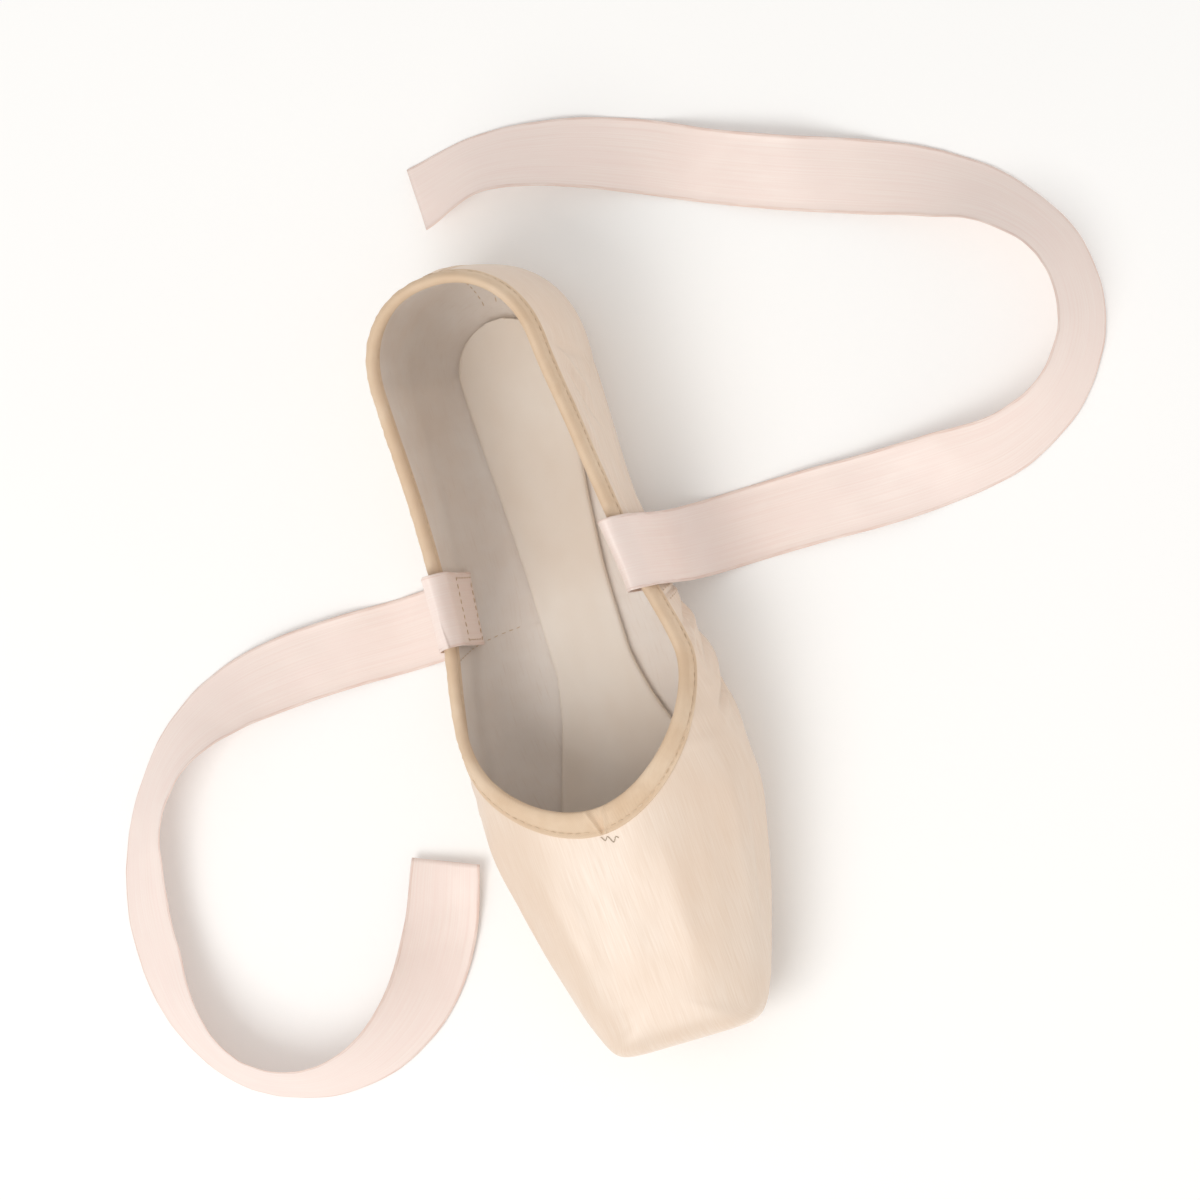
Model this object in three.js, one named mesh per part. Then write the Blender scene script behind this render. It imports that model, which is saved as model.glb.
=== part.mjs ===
// A satin pointe shoe, standing empty and unbent on its leather outsole. Millimetres, +Z up.
// The toe points along -Y. Stations s run from the back of the heel (0) to the platform (LENGTH).
// The last is a fan of ribs: upright planes that leave a spine along the shoe's middle, square to it
// along the sides and turning round its two ends at the heel and the toe.

import * as THREE from 'three';
import { mergeVertices } from 'three/addons/utils/BufferGeometryUtils.js';

// Driving sizes.
const LENGTH = 235;
const GAP = 0.3;
const HEEL_CENTRE = 30;       // station where the spine ends at the heel
const TOE_CENTRE = 220;       // station where the spine ends at the toe
const THROAT = 163;           // station of the throat's lowest point
const THROAT_RADIUS = 38;     // depth of the round end of the throat
const BINDING_WIDTH = 8;
const BINDING_PROUD = 0.4;    // how far the binding stands off the satin, inside and out
const SOLE_THICKNESS = 2.5;
const SOLE_HEEL_END = 13;     // stations where the outsole ends
const SOLE_TOE_END = 223;
const SOLE_HEEL_CORNER = 3.5; // corner radii of the outsole's ends
const SOLE_TOE_CORNER = 6;
const SOLE_BEVEL = 0.5;
const LASTING_MARGIN = 6;     // satin turned in under the foot, past the feather edge
const TOE_TUCK = 12.5;        // platform edge to feather edge, under the toe
const TOE_OPENING = 1.5;      // radius of the hole left where the satin is drawn in under the toe
const INSOLE_THICKNESS = 2.2;
const INSOLE_END_ROOM = 2;
const RIBBON_WIDTH = 22;
const RIBBON_THICKNESS = 0.6;
const RIBBON_FLOOR_ROOM = 0.2;

// Roundness of the superellipses: 2 is round, more is boxier.
const HEEL_PLAN = 2.15;
const TOE_PLAN = 7;
const TOE_DOME = 5.5;
const TOE_BELLY = 4.5;
const SIDE_BELLY = 2.3;

const DEGREE = Math.PI / 180;
const QUARTER_TURN = Math.PI / 2;
const TOE_TURN_IN = 10 * DEGREE;  // turn past which the satin reaches that hole

const named = (columns, rows) =>
  rows.map((row) => Object.fromEntries(columns.map((name, i) => [name, row[i]])));

// The last: half width, height of the widest line, height of the crown, wall and roundness above.
// Behind the throat the crown is the foot's own instep, over the open collar.
const LAST = named(
  ['s', 'half', 'widest', 'crown', 'wall', 'dome'],
  [
    [0, 28.6, 20, 86, 2.0, 2.3],
    [30, 28.8, 20, 88, 2.0, 2.3],
    [60, 29.2, 20.5, 86, 2.0, 2.3],
    [95, 31.4, 21.5, 79, 2.0, 2.3],
    [130, 38.4, 20, 64, 2.0, 2.35],
    [163, 41, 19, 49.5, 2.1, 2.4],
    [185, 37.2, 18.5, 44.6, 2.4, 2.5],
    [205, 32.4, 19, 40, 2.7, 2.65],
    [220, 28.6, 19.5, 36.2, 2.9, 2.8],
    [235, 22.6, 20.5, 32.5, 3.0, 2.8],
  ],
);

// The underside: how far the outsole is lifted off the floor, by its arch and its toe spring.
const LIFT = named(
  ['s', 'lift'],
  [
    [0, 1.2],
    [14, 0],
    [50, 0],
    [75, 1.8],
    [100, 3],
    [125, 1.8],
    [148, 0],
    [186, 0],
    [205, 1.7],
    [223, 4.6],
    [235, 7],
  ],
);

// The outsole's half width: square heel, narrow waist, wide forepart, narrow toe.
const SOLE = named(
  ['s', 'half'],
  [
    [13, 15],
    [30, 16],
    [50, 15.3],
    [75, 13.4],
    [100, 12.3],
    [118, 12.3],
    [132, 14.6],
    [150, 20.5],
    [172, 26],
    [190, 24.8],
    [207, 21.2],
    [223, 16],
  ],
);

// The collar's height along the side, heel to throat.
const TOPLINE = named(
  ['s', 'height'],
  [
    [0, 60],
    [30, 57.5],
    [60, 49.5],
    [95, 42.5],
    [125, 39.5],
    [171, 41],
  ],
);

// Ribbons: sewn inside the quarter, over the collar, down to the floor and away in loose curves.
// z is the height of the ribbon's lower edge, heading the way it travels in plan, and lean how far
// its left edge is raised, both in degrees.
const RIBBON_COLUMNS = ['x', 'y', 'z', 'heading', 'lean'];
const RIBBON_RIGHT = named(RIBBON_COLUMNS, [
  [27.2, 22, 15, 5, 4],
  [27.2, 22, 24, 5, 5],
  [26.4, 22, 33, 5, 7],
  [25.7, 22, 41, 5, 9],
  [28.8, 22, 45.4, 5, 9],
  [32.8, 22, 40, 5, 8],
  [34.2, 22, 30, 5, 6],
  [34.8, 22, 19, 5, 3],
  [36.6, 22, 9, 3, 0],
  [43.5, 22, 2, 0, 0],
  [56, 22, 0, 0, 0],
  [75, 21.5, 1.5, -2, 0],
  [96, 20.5, 2, -2, 4],
  [117, 20.5, 0, 2, 20],
  [139, 22, 0, 16, 42],
  [158, 31, 0, 42, 58],
  [170, 48, 0, 74, 64],
  [170, 70, 0, 108, 62],
  [157, 88, 0, 138, 50],
  [138, 100, 0, 153, 26],
  [117, 109, 1.5, 158, 4],
  [96, 117, 2.5, 158, -8],
  [75, 126, 0.5, 155, -10],
  [54, 136, 0, 156, 6],
  [32, 144, 1, 164, 24],
  [9, 148, 0, 178, 34],
  [-13, 144, 0, 196, 22],
]);
const RIBBON_LEFT = named(RIBBON_COLUMNS, [
  [-27.2, 22, 15, 175, -4],
  [-27.2, 22, 24, 175, -5],
  [-26.4, 22, 33, 175, -7],
  [-25.7, 22, 41, 175, -9],
  [-28.8, 22, 45.4, 175, -9],
  [-32.8, 22, 40, 175, -8],
  [-34.2, 22, 30, 175, -6],
  [-34.8, 22, 19, 175, -3],
  [-36.6, 22, 9, 177, 0],
  [-43.5, 22, 2, 180, 0],
  [-56, 22, 0, 180, 0],
  [-75, 22.5, 1.8, 179, 0],
  [-95, 22, 2, 184, 6],
  [-115, 19, 0, 196, 24],
  [-134, 10, 0, 216, 42],
  [-148, -6, 0, 238, 46],
  [-156, -27, 0, 256, 36],
  [-158, -49, 0, 270, 34],
  [-154, -71, 0, 290, 48],
  [-142, -89, 0, 316, 60],
  [-122, -98, 0, 346, 64],
  [-101, -96, 0, 378, 56],
  [-83, -84, 0, 406, 38],
  [-71, -66, 1, 424, 14],
  [-63, -46, 2.5, 432, -4],
]);

const MATERIALS = {
  satin: { color: 0xf0e2d4, roughness: 0.38, metalness: 0 },
  binding: { color: 0xe6d2b4, roughness: 0.7, metalness: 0 },
  leather: { color: 0xc9a58c, roughness: 0.65, metalness: 0 },
  insole: { color: 0xe4d6c0, roughness: 0.85, metalness: 0 },
  ribbon: { color: 0xf2dcd0, roughness: 0.45, metalness: 0 },
};

const clamp = (value, low, high) => Math.min(Math.max(value, low), high);
const mix = (a, b, t) => a + (b - a) * t;
const steps = (from, to, count) =>
  Array.from({ length: count + 1 }, (_, i) => mix(from, to, i / count));

// Slope of a table's column at one row: none at a peak, so that a curve never overshoots its rows.
function slopeAt(table, name, row) {
  const rise = (i) => (table[i + 1][name] - table[i][name]) / (table[i + 1].s - table[i].s);
  if (row === 0) return rise(0);
  if (row === table.length - 1) return rise(row - 1);
  const before = rise(row - 1);
  const after = rise(row);
  return before * after > 0 ? (2 * before * after) / (before + after) : 0;
}

// A table's column at any station, on a smooth curve through its rows.
function read(table, name, s) {
  const last = table.length - 1;
  const at = clamp(s, table[0].s, table[last].s);
  let i = 0;
  while (i < last - 1 && at > table[i + 1].s) i += 1;
  const span = table[i + 1].s - table[i].s;
  const t = (at - table[i].s) / span;
  const ease = t * t * (3 - 2 * t);
  const leave = t * (1 - t) * (1 - t) * span * slopeAt(table, name, i);
  const arrive = t * t * (t - 1) * span * slopeAt(table, name, i + 1);
  return mix(table[i][name], table[i + 1][name], ease) + leave + arrive;
}

const last = (name, s) => read(LAST, name, s);
const lift = (s) => read(LIFT, 'lift', s);
const underside = (s) => lift(s) + SOLE_THICKNESS + GAP;
const footHalf = (s) => read(SOLE, 'half', s) - SOLE_BEVEL;
const place = (x, s, z) => new THREE.Vector3(x, LENGTH / 2 - s, z);

// Ribs -----------------------------------------------------------------------------------------

const sideRib = (s) => ({
  centre: s,
  x: last('half', s),
  s,
  dome: last('dome', s),
  belly: SIDE_BELLY,
  tuck: last('half', s) - footHalf(s),
  margin: LASTING_MARGIN,
});

// turn runs from 0 at the side to a quarter turn at the very end.
function endRib(centre, reach, plan, turn) {
  const s = centre + reach * Math.sin(turn) ** (2 / plan);
  const x = turn === QUARTER_TURN ? 0 : last('half', s) * Math.cos(turn) ** (2 / plan);
  return { ...sideRib(centre), x, s };
}

const heelRib = (turn) => endRib(HEEL_CENTRE, -HEEL_CENTRE, HEEL_PLAN, turn);

function toeRib(turn) {
  const rib = endRib(TOE_CENTRE, LENGTH - TOE_CENTRE, TOE_PLAN, turn);
  const front = Math.sin(turn) ** 2;
  rib.dome = mix(rib.dome, TOE_DOME, front);
  rib.belly = mix(rib.belly, TOE_BELLY, front);
  const sideShare = rib.tuck / last('half', TOE_CENTRE);
  const frontShare = TOE_TUCK / (LENGTH - TOE_CENTRE);
  rib.tuck = reachOf(rib) * mix(sideShare, frontShare, Math.sin(turn));
  const toOpening = reachOf(rib) - rib.tuck - TOE_OPENING;
  rib.margin = mix(rib.margin, toOpening, Math.min(turn / TOE_TURN_IN, 1));
  return rib;
}

const reachOf = (rib) => Math.hypot(rib.x, rib.s - rib.centre);

// A point of the last on one rib: angle is 0 on the widest line, a quarter turn on the crown and
// minus a quarter turn on the feather edge. inset moves it into the wall.
function pointOn(rib, angle, inset) {
  const reach = reachOf(rib);
  const full = 1 - inset / reach;
  const foot = 1 - rib.tuck / reach;
  const above = angle >= 0;
  const power = 2 / (above ? rib.dome : rib.belly);
  const out = Math.max(Math.cos(angle), 0) ** power;
  const up = Math.abs(Math.sin(angle)) ** power;
  const along = above ? full * out : mix(foot, full, out);
  const s = mix(rib.centre, rib.s, along);
  const widest = last('widest', s);
  const goal = above ? last('crown', s) - inset : underside(s) + inset;
  return place(rib.x * along, s, mix(widest, goal, up));
}

// The turned-in margin's edge, under the foot.
function marginPoint(rib, inset) {
  const along = 1 - (rib.tuck + rib.margin) / reachOf(rib);
  const s = mix(rib.centre, rib.s, along);
  return place(rib.x * along, s, underside(s) + inset);
}

const angleAtHeight = (rib, z) => {
  const widest = last('widest', rib.s);
  const share = (z - widest) / (last('crown', rib.s) - widest);
  return Math.asin(clamp(share, 0, 1) ** (rib.dome / 2));
};

// The angle a given distance down the rib from another.
function slide(rib, angle, distance) {
  const step = -Math.sign(distance) * DEGREE * 0.5;
  let left = Math.abs(distance);
  let at = angle;
  let here = pointOn(rib, at, 0);
  while (left > 0 && Math.abs(at) < QUARTER_TURN) {
    const next = pointOn(rib, at + step, 0);
    const length = next.distanceTo(here);
    at += step * Math.min(1, left / length);
    left -= length;
    here = next;
  }
  return at;
}

// The collar's edge, and every line parallel to it: drop is the distance below the edge. round is a
// quarter turn along the sides and closes to 0 at the lowest point of the throat.
function collarStop(stop, drop) {
  const round = stop.round ?? QUARTER_TURN;
  const throatAt = THROAT - THROAT_RADIUS + (THROAT_RADIUS + drop) * Math.cos(round);
  const rib = stop.round === undefined ? stop.rib : sideRib(throatAt);
  const side = slide(rib, angleAtHeight(rib, read(TOPLINE, 'height', rib.s)), drop);
  const cosine = Math.cos(side) * Math.max(Math.sin(round), 0) ** (rib.dome / 2);
  return { rib, angle: Math.acos(clamp(cosine, 0, 1)) };
}

const HEEL_TURNS = steps(QUARTER_TURN, 0, 8);
const SIDE_STATIONS = steps(HEEL_CENTRE, THROAT - THROAT_RADIUS, 9).slice(1);
const ROUND_TURNS = steps(QUARTER_TURN, 0, 11).slice(1);
const COLLAR_STOPS = [
  ...HEEL_TURNS.map((turn) => ({ rib: heelRib(turn) })),
  ...SIDE_STATIONS.map((s) => ({ rib: sideRib(s) })),
  ...ROUND_TURNS.map((round) => ({ round })),
];

// Meshes ---------------------------------------------------------------------------------------

// One closed mesh from triangles given as points: vertices that meet are merged.
function closedMesh(triangles) {
  const loose = new THREE.BufferGeometry().setFromPoints(triangles.flat());
  const merged = mergeVertices(loose, 1e-3);
  const index = merged.index.array;
  const kept = [];
  for (let i = 0; i < index.length; i += 3) {
    const [a, b, c] = index.slice(i, i + 3);
    if (a !== b && b !== c && c !== a) kept.push(a, b, c);
  }
  merged.setIndex(kept);
  merged.computeVertexNormals();
  return merged;
}

const quad = (a, b, c, d) => [
  [a, b, c],
  [a, c, d],
];

// The quads between two neighbouring rows of points. A row closes on itself unless open is true.
function band(first, second, open = false) {
  const count = open ? first.length - 1 : first.length;
  const faces = [];
  for (let i = 0; i < count; i += 1) {
    const next = (i + 1) % first.length;
    faces.push(...quad(first[i], second[i], second[next], first[next]));
  }
  return faces;
}

const mirrored = (triangles) =>
  triangles.map(([a, b, c]) => [a, c, b].map((p) => new THREE.Vector3(-p.x, p.y, p.z)));

const fan = (row) => row.slice(2).map((p, i) => [row[0], row[i + 1], p]);

// A solid from the faces round a stack of closed rows, capped at both ends.
function capped(rows, sides) {
  const faces = [...sides, ...fan(rows[0]), ...fan(rows.at(-1)).map(([a, b, c]) => [a, c, b])];
  return closedMesh(faces.map(([a, b, c]) => [c, a, b]));
}

// A solid lofted through closed rows.
function loft(rows) {
  return capped(rows, rows.slice(1).flatMap((row, i) => band(rows[i], row)));
}

// Upper ----------------------------------------------------------------------------------------

const DOME_STEPS = 8;
const BELLY_STEPS = 6;
const VAMP_STEPS = 6;
const TOE_STEPS = 9;

// One rib of the upper: down the outside to the turned-in margin, and up the inside.
function upperRow({ rib, angle }) {
  const wall = last('wall', rib.s);
  const angles = [...steps(angle, 0, DOME_STEPS), ...steps(0, -QUARTER_TURN, BELLY_STEPS).slice(1)];
  const outside = angles.map((a) => pointOn(rib, a, 0));
  const inside = angles.map((a) => pointOn(rib, a, wall)).reverse();
  return [...outside, marginPoint(rib, 0), marginPoint(rib, wall), ...inside];
}

function makeUpper() {
  const drop = BINDING_WIDTH + 2 * GAP;
  const open = COLLAR_STOPS.map((stop) => upperRow(collarStop(stop, drop)));
  const vampTurns = [
    ...steps(THROAT + drop, TOE_CENTRE, VAMP_STEPS).slice(1).map(sideRib),
    ...steps(0, QUARTER_TURN, TOE_STEPS).slice(1).map(toeRib),
  ];
  const closed = vampTurns.map((rib) => upperRow({ rib, angle: QUARTER_TURN }));
  const faces = [];
  open.slice(1).forEach((row, i) => faces.push(...band(open[i], row)));
  [open.at(-1), ...closed].slice(0, -1).forEach((row, i) => faces.push(...band(row, closed[i], true)));
  return closedMesh([...faces, ...mirrored(faces)]);
}

// Collar binding -------------------------------------------------------------------------------

// The binding's section: down the outside, and up the inside, with a rounded top edge.
function bindingRow(stop) {
  const at = (drop, inset) => {
    const { rib, angle } = collarStop(stop, drop);
    return pointOn(rib, angle, inset);
  };
  const wall = last('wall', collarStop(stop, 0).rib.s);
  const drops = [0.7, BINDING_WIDTH * 0.35, BINDING_WIDTH * 0.7, BINDING_WIDTH];
  const outside = drops.map((drop) => at(drop, -BINDING_PROUD));
  const inside = drops.map((drop) => at(drop, wall + BINDING_PROUD)).reverse();
  return [at(0, wall / 2), ...outside, ...inside];
}

function makeBinding() {
  const rows = COLLAR_STOPS.map(bindingRow);
  const faces = rows.slice(1).flatMap((row, i) => band(rows[i], row));
  return closedMesh([...faces, ...mirrored(faces)]);
}

// Outsole and insole ---------------------------------------------------------------------------

// Half width of a tongue-shaped outline whose two ends are cut square, with round corners.
function squaredHalf(half, fromEnd, corner) {
  const into = clamp(fromEnd, 0, corner);
  return half - corner + Math.sqrt(corner * corner - (corner - into) ** 2);
}

function soleHalf(s) {
  const half = read(SOLE, 'half', s);
  const heel = squaredHalf(half, s - SOLE_HEEL_END, SOLE_HEEL_CORNER);
  const toe = squaredHalf(half, SOLE_TOE_END - s, SOLE_TOE_CORNER);
  return Math.min(heel, toe);
}

const cornerStations = (end, inward) => [0, 0.08, 0.3, 0.6, 1].map((t) => end + inward * t);

function makeOutsole() {
  const heel = cornerStations(SOLE_HEEL_END, SOLE_HEEL_CORNER);
  const toe = cornerStations(SOLE_TOE_END, -SOLE_TOE_CORNER).reverse();
  const middle = steps(heel.at(-1), toe[0], 24).slice(1, -1);
  const rows = [...heel, ...middle, ...toe].map((s) => {
    const half = soleHalf(s);
    const low = lift(s);
    const high = low + SOLE_THICKNESS;
    return [
      place(SOLE_BEVEL - half, s, low),
      place(-half, s, low + SOLE_BEVEL),
      place(-half, s, high),
      place(half, s, high),
      place(half, s, low + SOLE_BEVEL),
      place(half - SOLE_BEVEL, s, low),
    ];
  });
  return loft(rows);
}

function makeInsole() {
  const heelReach = HEEL_CENTRE - (last('half', HEEL_CENTRE) - footHalf(HEEL_CENTRE));
  const heelEnd = HEEL_CENTRE - heelReach + INSOLE_END_ROOM;
  const toeEnd = LENGTH - TOE_TUCK - INSOLE_END_ROOM;
  const stations = [
    ...steps(QUARTER_TURN, 0, 6).map((turn) => mix(HEEL_CENTRE, heelEnd, Math.sin(turn))),
    ...steps(HEEL_CENTRE, toeEnd, 20).slice(1),
  ];
  const rows = stations.map((s) => {
    const behind = clamp((HEEL_CENTRE - s) / (HEEL_CENTRE - heelEnd), 0, 1);
    const half = footHalf(Math.max(s, HEEL_CENTRE)) * Math.max(Math.sqrt(1 - behind ** 2), 0.2);
    const low = underside(s) + last('wall', s) + GAP;
    const high = low + INSOLE_THICKNESS;
    return [place(-half, s, low), place(-half, s, high), place(half, s, high), place(half, s, low)];
  });
  return loft(rows);
}

// Ribbons --------------------------------------------------------------------------------------

function makeRibbon(route) {
  const underneath = RIBBON_THICKNESS / 2 + RIBBON_FLOOR_ROOM;
  const centreHeight = (p) =>
    p.z + underneath + Math.abs(Math.sin(p.lean * DEGREE)) * (RIBBON_WIDTH / 2);
  const curve = new THREE.CatmullRomCurve3(
    route.map((p) => new THREE.Vector3(p.x, p.y, centreHeight(p))),
  );
  const turns = new THREE.CatmullRomCurve3(route.map((p) => new THREE.Vector3(p.heading, p.lean, 0)));
  const count = (route.length - 1) * 2;
  const rows = steps(0, 1, count).map((t) => {
    const centre = curve.getPoint(t);
    const travel = curve.getTangent(t);
    const facing = turns.getPoint(t);
    const bearing = (facing.x + 90) * DEGREE;
    const lean = facing.y * DEGREE;
    const across = new THREE.Vector3(
      Math.cos(bearing) * Math.cos(lean),
      Math.sin(bearing) * Math.cos(lean),
      Math.sin(lean),
    );
    across.addScaledVector(travel, -across.dot(travel)).normalize();
    const up = travel.clone().cross(across);
    const corner = (side, face) =>
      centre
        .clone()
        .addScaledVector(across, (side * RIBBON_WIDTH) / 2)
        .addScaledVector(up, (face * RIBBON_THICKNESS) / 2);
    return [corner(1, -1), corner(-1, -1), corner(-1, 1), corner(1, 1)];
  });
  // Both broad faces are cut along the same diagonals, so a twisted stretch keeps its thickness.
  const sides = rows.slice(1).flatMap((row, i) => [
    ...quad(rows[i][0], row[0], row[1], rows[i][1]),
    ...quad(rows[i][1], row[1], row[2], rows[i][2]),
    ...quad(row[2], row[3], rows[i][3], rows[i][2]),
    ...quad(rows[i][3], row[3], row[0], rows[i][0]),
  ]);
  return capped(rows, sides);
}

// Assembly -------------------------------------------------------------------------------------

function piece(name, material, geometry) {
  const mesh = new THREE.Mesh(geometry, new THREE.MeshStandardMaterial(MATERIALS[material]));
  mesh.name = name;
  return mesh;
}

const group = new THREE.Group();
group.add(
  piece('outsole', 'leather', makeOutsole()),
  piece('upper', 'satin', makeUpper()),
  piece('insole', 'insole', makeInsole()),
  piece('collar_binding', 'binding', makeBinding()),
  piece('ribbon_right', 'ribbon', makeRibbon(RIBBON_RIGHT)),
  piece('ribbon_left', 'ribbon', makeRibbon(RIBBON_LEFT)),
);

export default group;
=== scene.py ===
# A satin pointe shoe standing empty on its leather outsole, its ribbons uncoiled beside it.
# Shapes are worked out in the shoe's own millimetres and made into metres as they become meshes.
# The toe points along -Y. Stations s run from the back of the heel (0) to the platform (LENGTH).

import math

import bmesh
import bpy
import numpy as np
from mathutils import Matrix, Vector


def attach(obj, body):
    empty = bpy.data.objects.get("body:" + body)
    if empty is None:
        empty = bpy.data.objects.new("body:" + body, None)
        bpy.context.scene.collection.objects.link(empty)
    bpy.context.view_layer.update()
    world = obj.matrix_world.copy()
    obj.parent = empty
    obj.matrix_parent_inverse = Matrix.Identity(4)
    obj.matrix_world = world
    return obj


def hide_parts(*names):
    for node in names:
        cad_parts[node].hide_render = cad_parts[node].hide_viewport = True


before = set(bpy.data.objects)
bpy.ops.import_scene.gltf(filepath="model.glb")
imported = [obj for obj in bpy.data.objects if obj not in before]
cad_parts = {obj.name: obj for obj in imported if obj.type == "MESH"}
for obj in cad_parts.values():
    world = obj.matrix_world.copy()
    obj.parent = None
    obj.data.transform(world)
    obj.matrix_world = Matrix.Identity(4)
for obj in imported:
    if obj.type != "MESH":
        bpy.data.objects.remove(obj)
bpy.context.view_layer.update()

# Sizes of the shoe, in millimetres ---------------------------------------------------------------

MM = 0.001
LENGTH = 235
HEEL_CENTRE = 30
TOE_CENTRE = 220
THROAT = 163
THROAT_RADIUS = 38
BINDING_WIDTH = 8
SOLE_THICKNESS = 2.5
SOLE_GAP = 0.3
SOLE_HEEL_END = 13
SOLE_TOE_END = 223
SOLE_HEEL_CORNER = 3.5
SOLE_TOE_CORNER = 6
SOLE_BEVEL = 0.5
LASTING_MARGIN = 6
TOE_TUCK = 12.5
TOE_OPENING = 1.5
INSOLE_THICKNESS = 2.2
INSOLE_END_ROOM = 2
RIBBON_WIDTH = 22
RIBBON_FLOOR_ROOM = 0.5

HEEL_PLAN = 2.15
TOE_PLAN = 7
TOE_DOME = 5.5
TOE_BELLY = 4.5
SIDE_BELLY = 2.3

QUARTER_TURN = math.pi / 2
TOE_TURN_IN = math.radians(10)    # turn past which the satin is drawn right in under the toe
TRIM_HEM = 6.6          # the satin's raw edge, hidden inside the folded binding
SEAM_AT_COLLAR = 112    # stations where the side seam meets the collar and the outsole
SEAM_AT_SOLE = 104
SEAM_HIGH = 41          # and the heights at which it meets them
SEAM_LOW = 6
HEEL_TAPE_HALF = 4

SIDES = (1, -1)

LAST = dict(
    s=[0, 30, 60, 95, 130, 163, 185, 205, 220, 235],
    half=[28.6, 28.8, 29.2, 31.4, 38.4, 41, 37.2, 32.4, 28.6, 22.6],
    widest=[20, 20, 20.5, 21.5, 20, 19, 18.5, 19, 19.5, 20.5],
    crown=[86, 88, 86, 79, 64, 49.5, 44.6, 40, 36.2, 32.5],
    wall=[2.0, 2.0, 2.0, 2.0, 2.0, 2.1, 2.4, 2.7, 2.9, 3.0],
    dome=[2.3, 2.3, 2.3, 2.3, 2.35, 2.4, 2.5, 2.65, 2.8, 2.8],
)
LIFT = dict(
    s=[0, 14, 50, 75, 100, 125, 148, 186, 205, 223, 235],
    lift=[1.2, 0, 0, 1.8, 3, 1.8, 0, 0, 1.7, 4.6, 7],
)
SOLE = dict(
    s=[13, 30, 50, 75, 100, 118, 132, 150, 172, 190, 207, 223],
    half=[15, 16, 15.3, 13.4, 12.3, 12.3, 14.6, 20.5, 26, 24.8, 21.2, 16],
)
TOPLINE = dict(s=[0, 30, 60, 95, 125, 171], height=[60, 57.5, 49.5, 42.5, 39.5, 41])

# Ribbon routes: z is the lower edge's height, heading the way the ribbon travels in plan, and lean
# how far its left edge is raised, both in degrees.
RIBBON_RIGHT = [
    (27.2, 22, 15, 5, 4),
    (27.2, 22, 24, 5, 5),
    (26.4, 22, 33, 5, 7),
    (25.7, 22, 41, 5, 9),
    (28.8, 22, 45.4, 5, 9),
    (32.8, 22, 40, 5, 8),
    (34.2, 22, 30, 5, 6),
    (34.8, 22, 19, 5, 3),
    (36.6, 22, 9, 3, 0),
    (43.5, 22, 2, 0, 0),
    (56, 22, 0, 0, 0),
    (75, 21.5, 1.5, -2, 0),
    (96, 20.5, 2, -2, 4),
    (117, 20.5, 0, 2, 20),
    (139, 22, 0, 16, 42),
    (158, 31, 0, 42, 58),
    (170, 48, 0, 74, 64),
    (170, 70, 0, 108, 62),
    (157, 88, 0, 138, 50),
    (138, 100, 0, 153, 26),
    (117, 109, 1.5, 158, 4),
    (96, 117, 2.5, 158, -8),
    (75, 126, 0.5, 155, -10),
    (54, 136, 0, 156, 6),
    (32, 144, 1, 164, 24),
    (9, 148, 0, 178, 34),
    (-13, 144, 0, 196, 22),
]
RIBBON_LEFT = [
    (-27.2, 22, 15, 175, -4),
    (-27.2, 22, 24, 175, -5),
    (-26.4, 22, 33, 175, -7),
    (-25.7, 22, 41, 175, -9),
    (-28.8, 22, 45.4, 175, -9),
    (-32.8, 22, 40, 175, -8),
    (-34.2, 22, 30, 175, -6),
    (-34.8, 22, 19, 175, -3),
    (-36.6, 22, 9, 177, 0),
    (-43.5, 22, 2, 180, 0),
    (-56, 22, 0, 180, 0),
    (-75, 22.5, 1.8, 179, 0),
    (-95, 22, 2, 184, 6),
    (-115, 19, 0, 196, 24),
    (-134, 10, 0, 216, 42),
    (-148, -6, 0, 238, 46),
    (-156, -27, 0, 256, 36),
    (-158, -49, 0, 270, 34),
    (-154, -71, 0, 290, 48),
    (-142, -89, 0, 316, 60),
    (-122, -98, 0, 346, 64),
    (-101, -96, 0, 378, 56),
    (-83, -84, 0, 406, 38),
    (-71, -66, 1, 424, 14),
    (-63, -46, 2.5, 432, -4),
]

# Smooth tables ------------------------------------------------------------------------------------


def read(table, name, s):
    """A table's column at any station, on a smooth curve through its rows that never overshoots."""
    at = np.array(table["s"], float)
    value = np.array(table[name], float)
    rise = np.diff(value) / np.diff(at)
    slope = np.empty_like(value)
    slope[0], slope[-1] = rise[0], rise[-1]
    product = rise[:-1] * rise[1:]
    total = rise[:-1] + rise[1:]
    slope[1:-1] = np.where(product > 0, 2 * product / np.where(total == 0, 1, total), 0)
    s = np.clip(s, at[0], at[-1])
    i = np.clip(np.searchsorted(at, s, side="right") - 1, 0, len(at) - 2)
    span = at[i + 1] - at[i]
    t = (s - at[i]) / span
    ease = t * t * (3 - 2 * t)
    leave = t * (1 - t) ** 2 * span * slope[i]
    arrive = t * t * (t - 1) * span * slope[i + 1]
    return value[i] + (value[i + 1] - value[i]) * ease + leave + arrive


def last(name, s):
    return read(LAST, name, s)


def lift(s):
    return read(LIFT, "lift", s)


def underside(s):
    return lift(s) + SOLE_THICKNESS + SOLE_GAP


def foot_half(s):
    return read(SOLE, "half", s) - SOLE_BEVEL


def mix(a, b, t):
    return a + (b - a) * t


def smoothstep(low, high, x):
    t = np.clip((x - low) / (high - low), 0, 1)
    return t * t * (3 - 2 * t)


def bump_of(distance, width):
    """A soft bell, 1 at distance 0 and nearly gone two widths away."""
    return np.exp(-((distance / width) ** 2))


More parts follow.
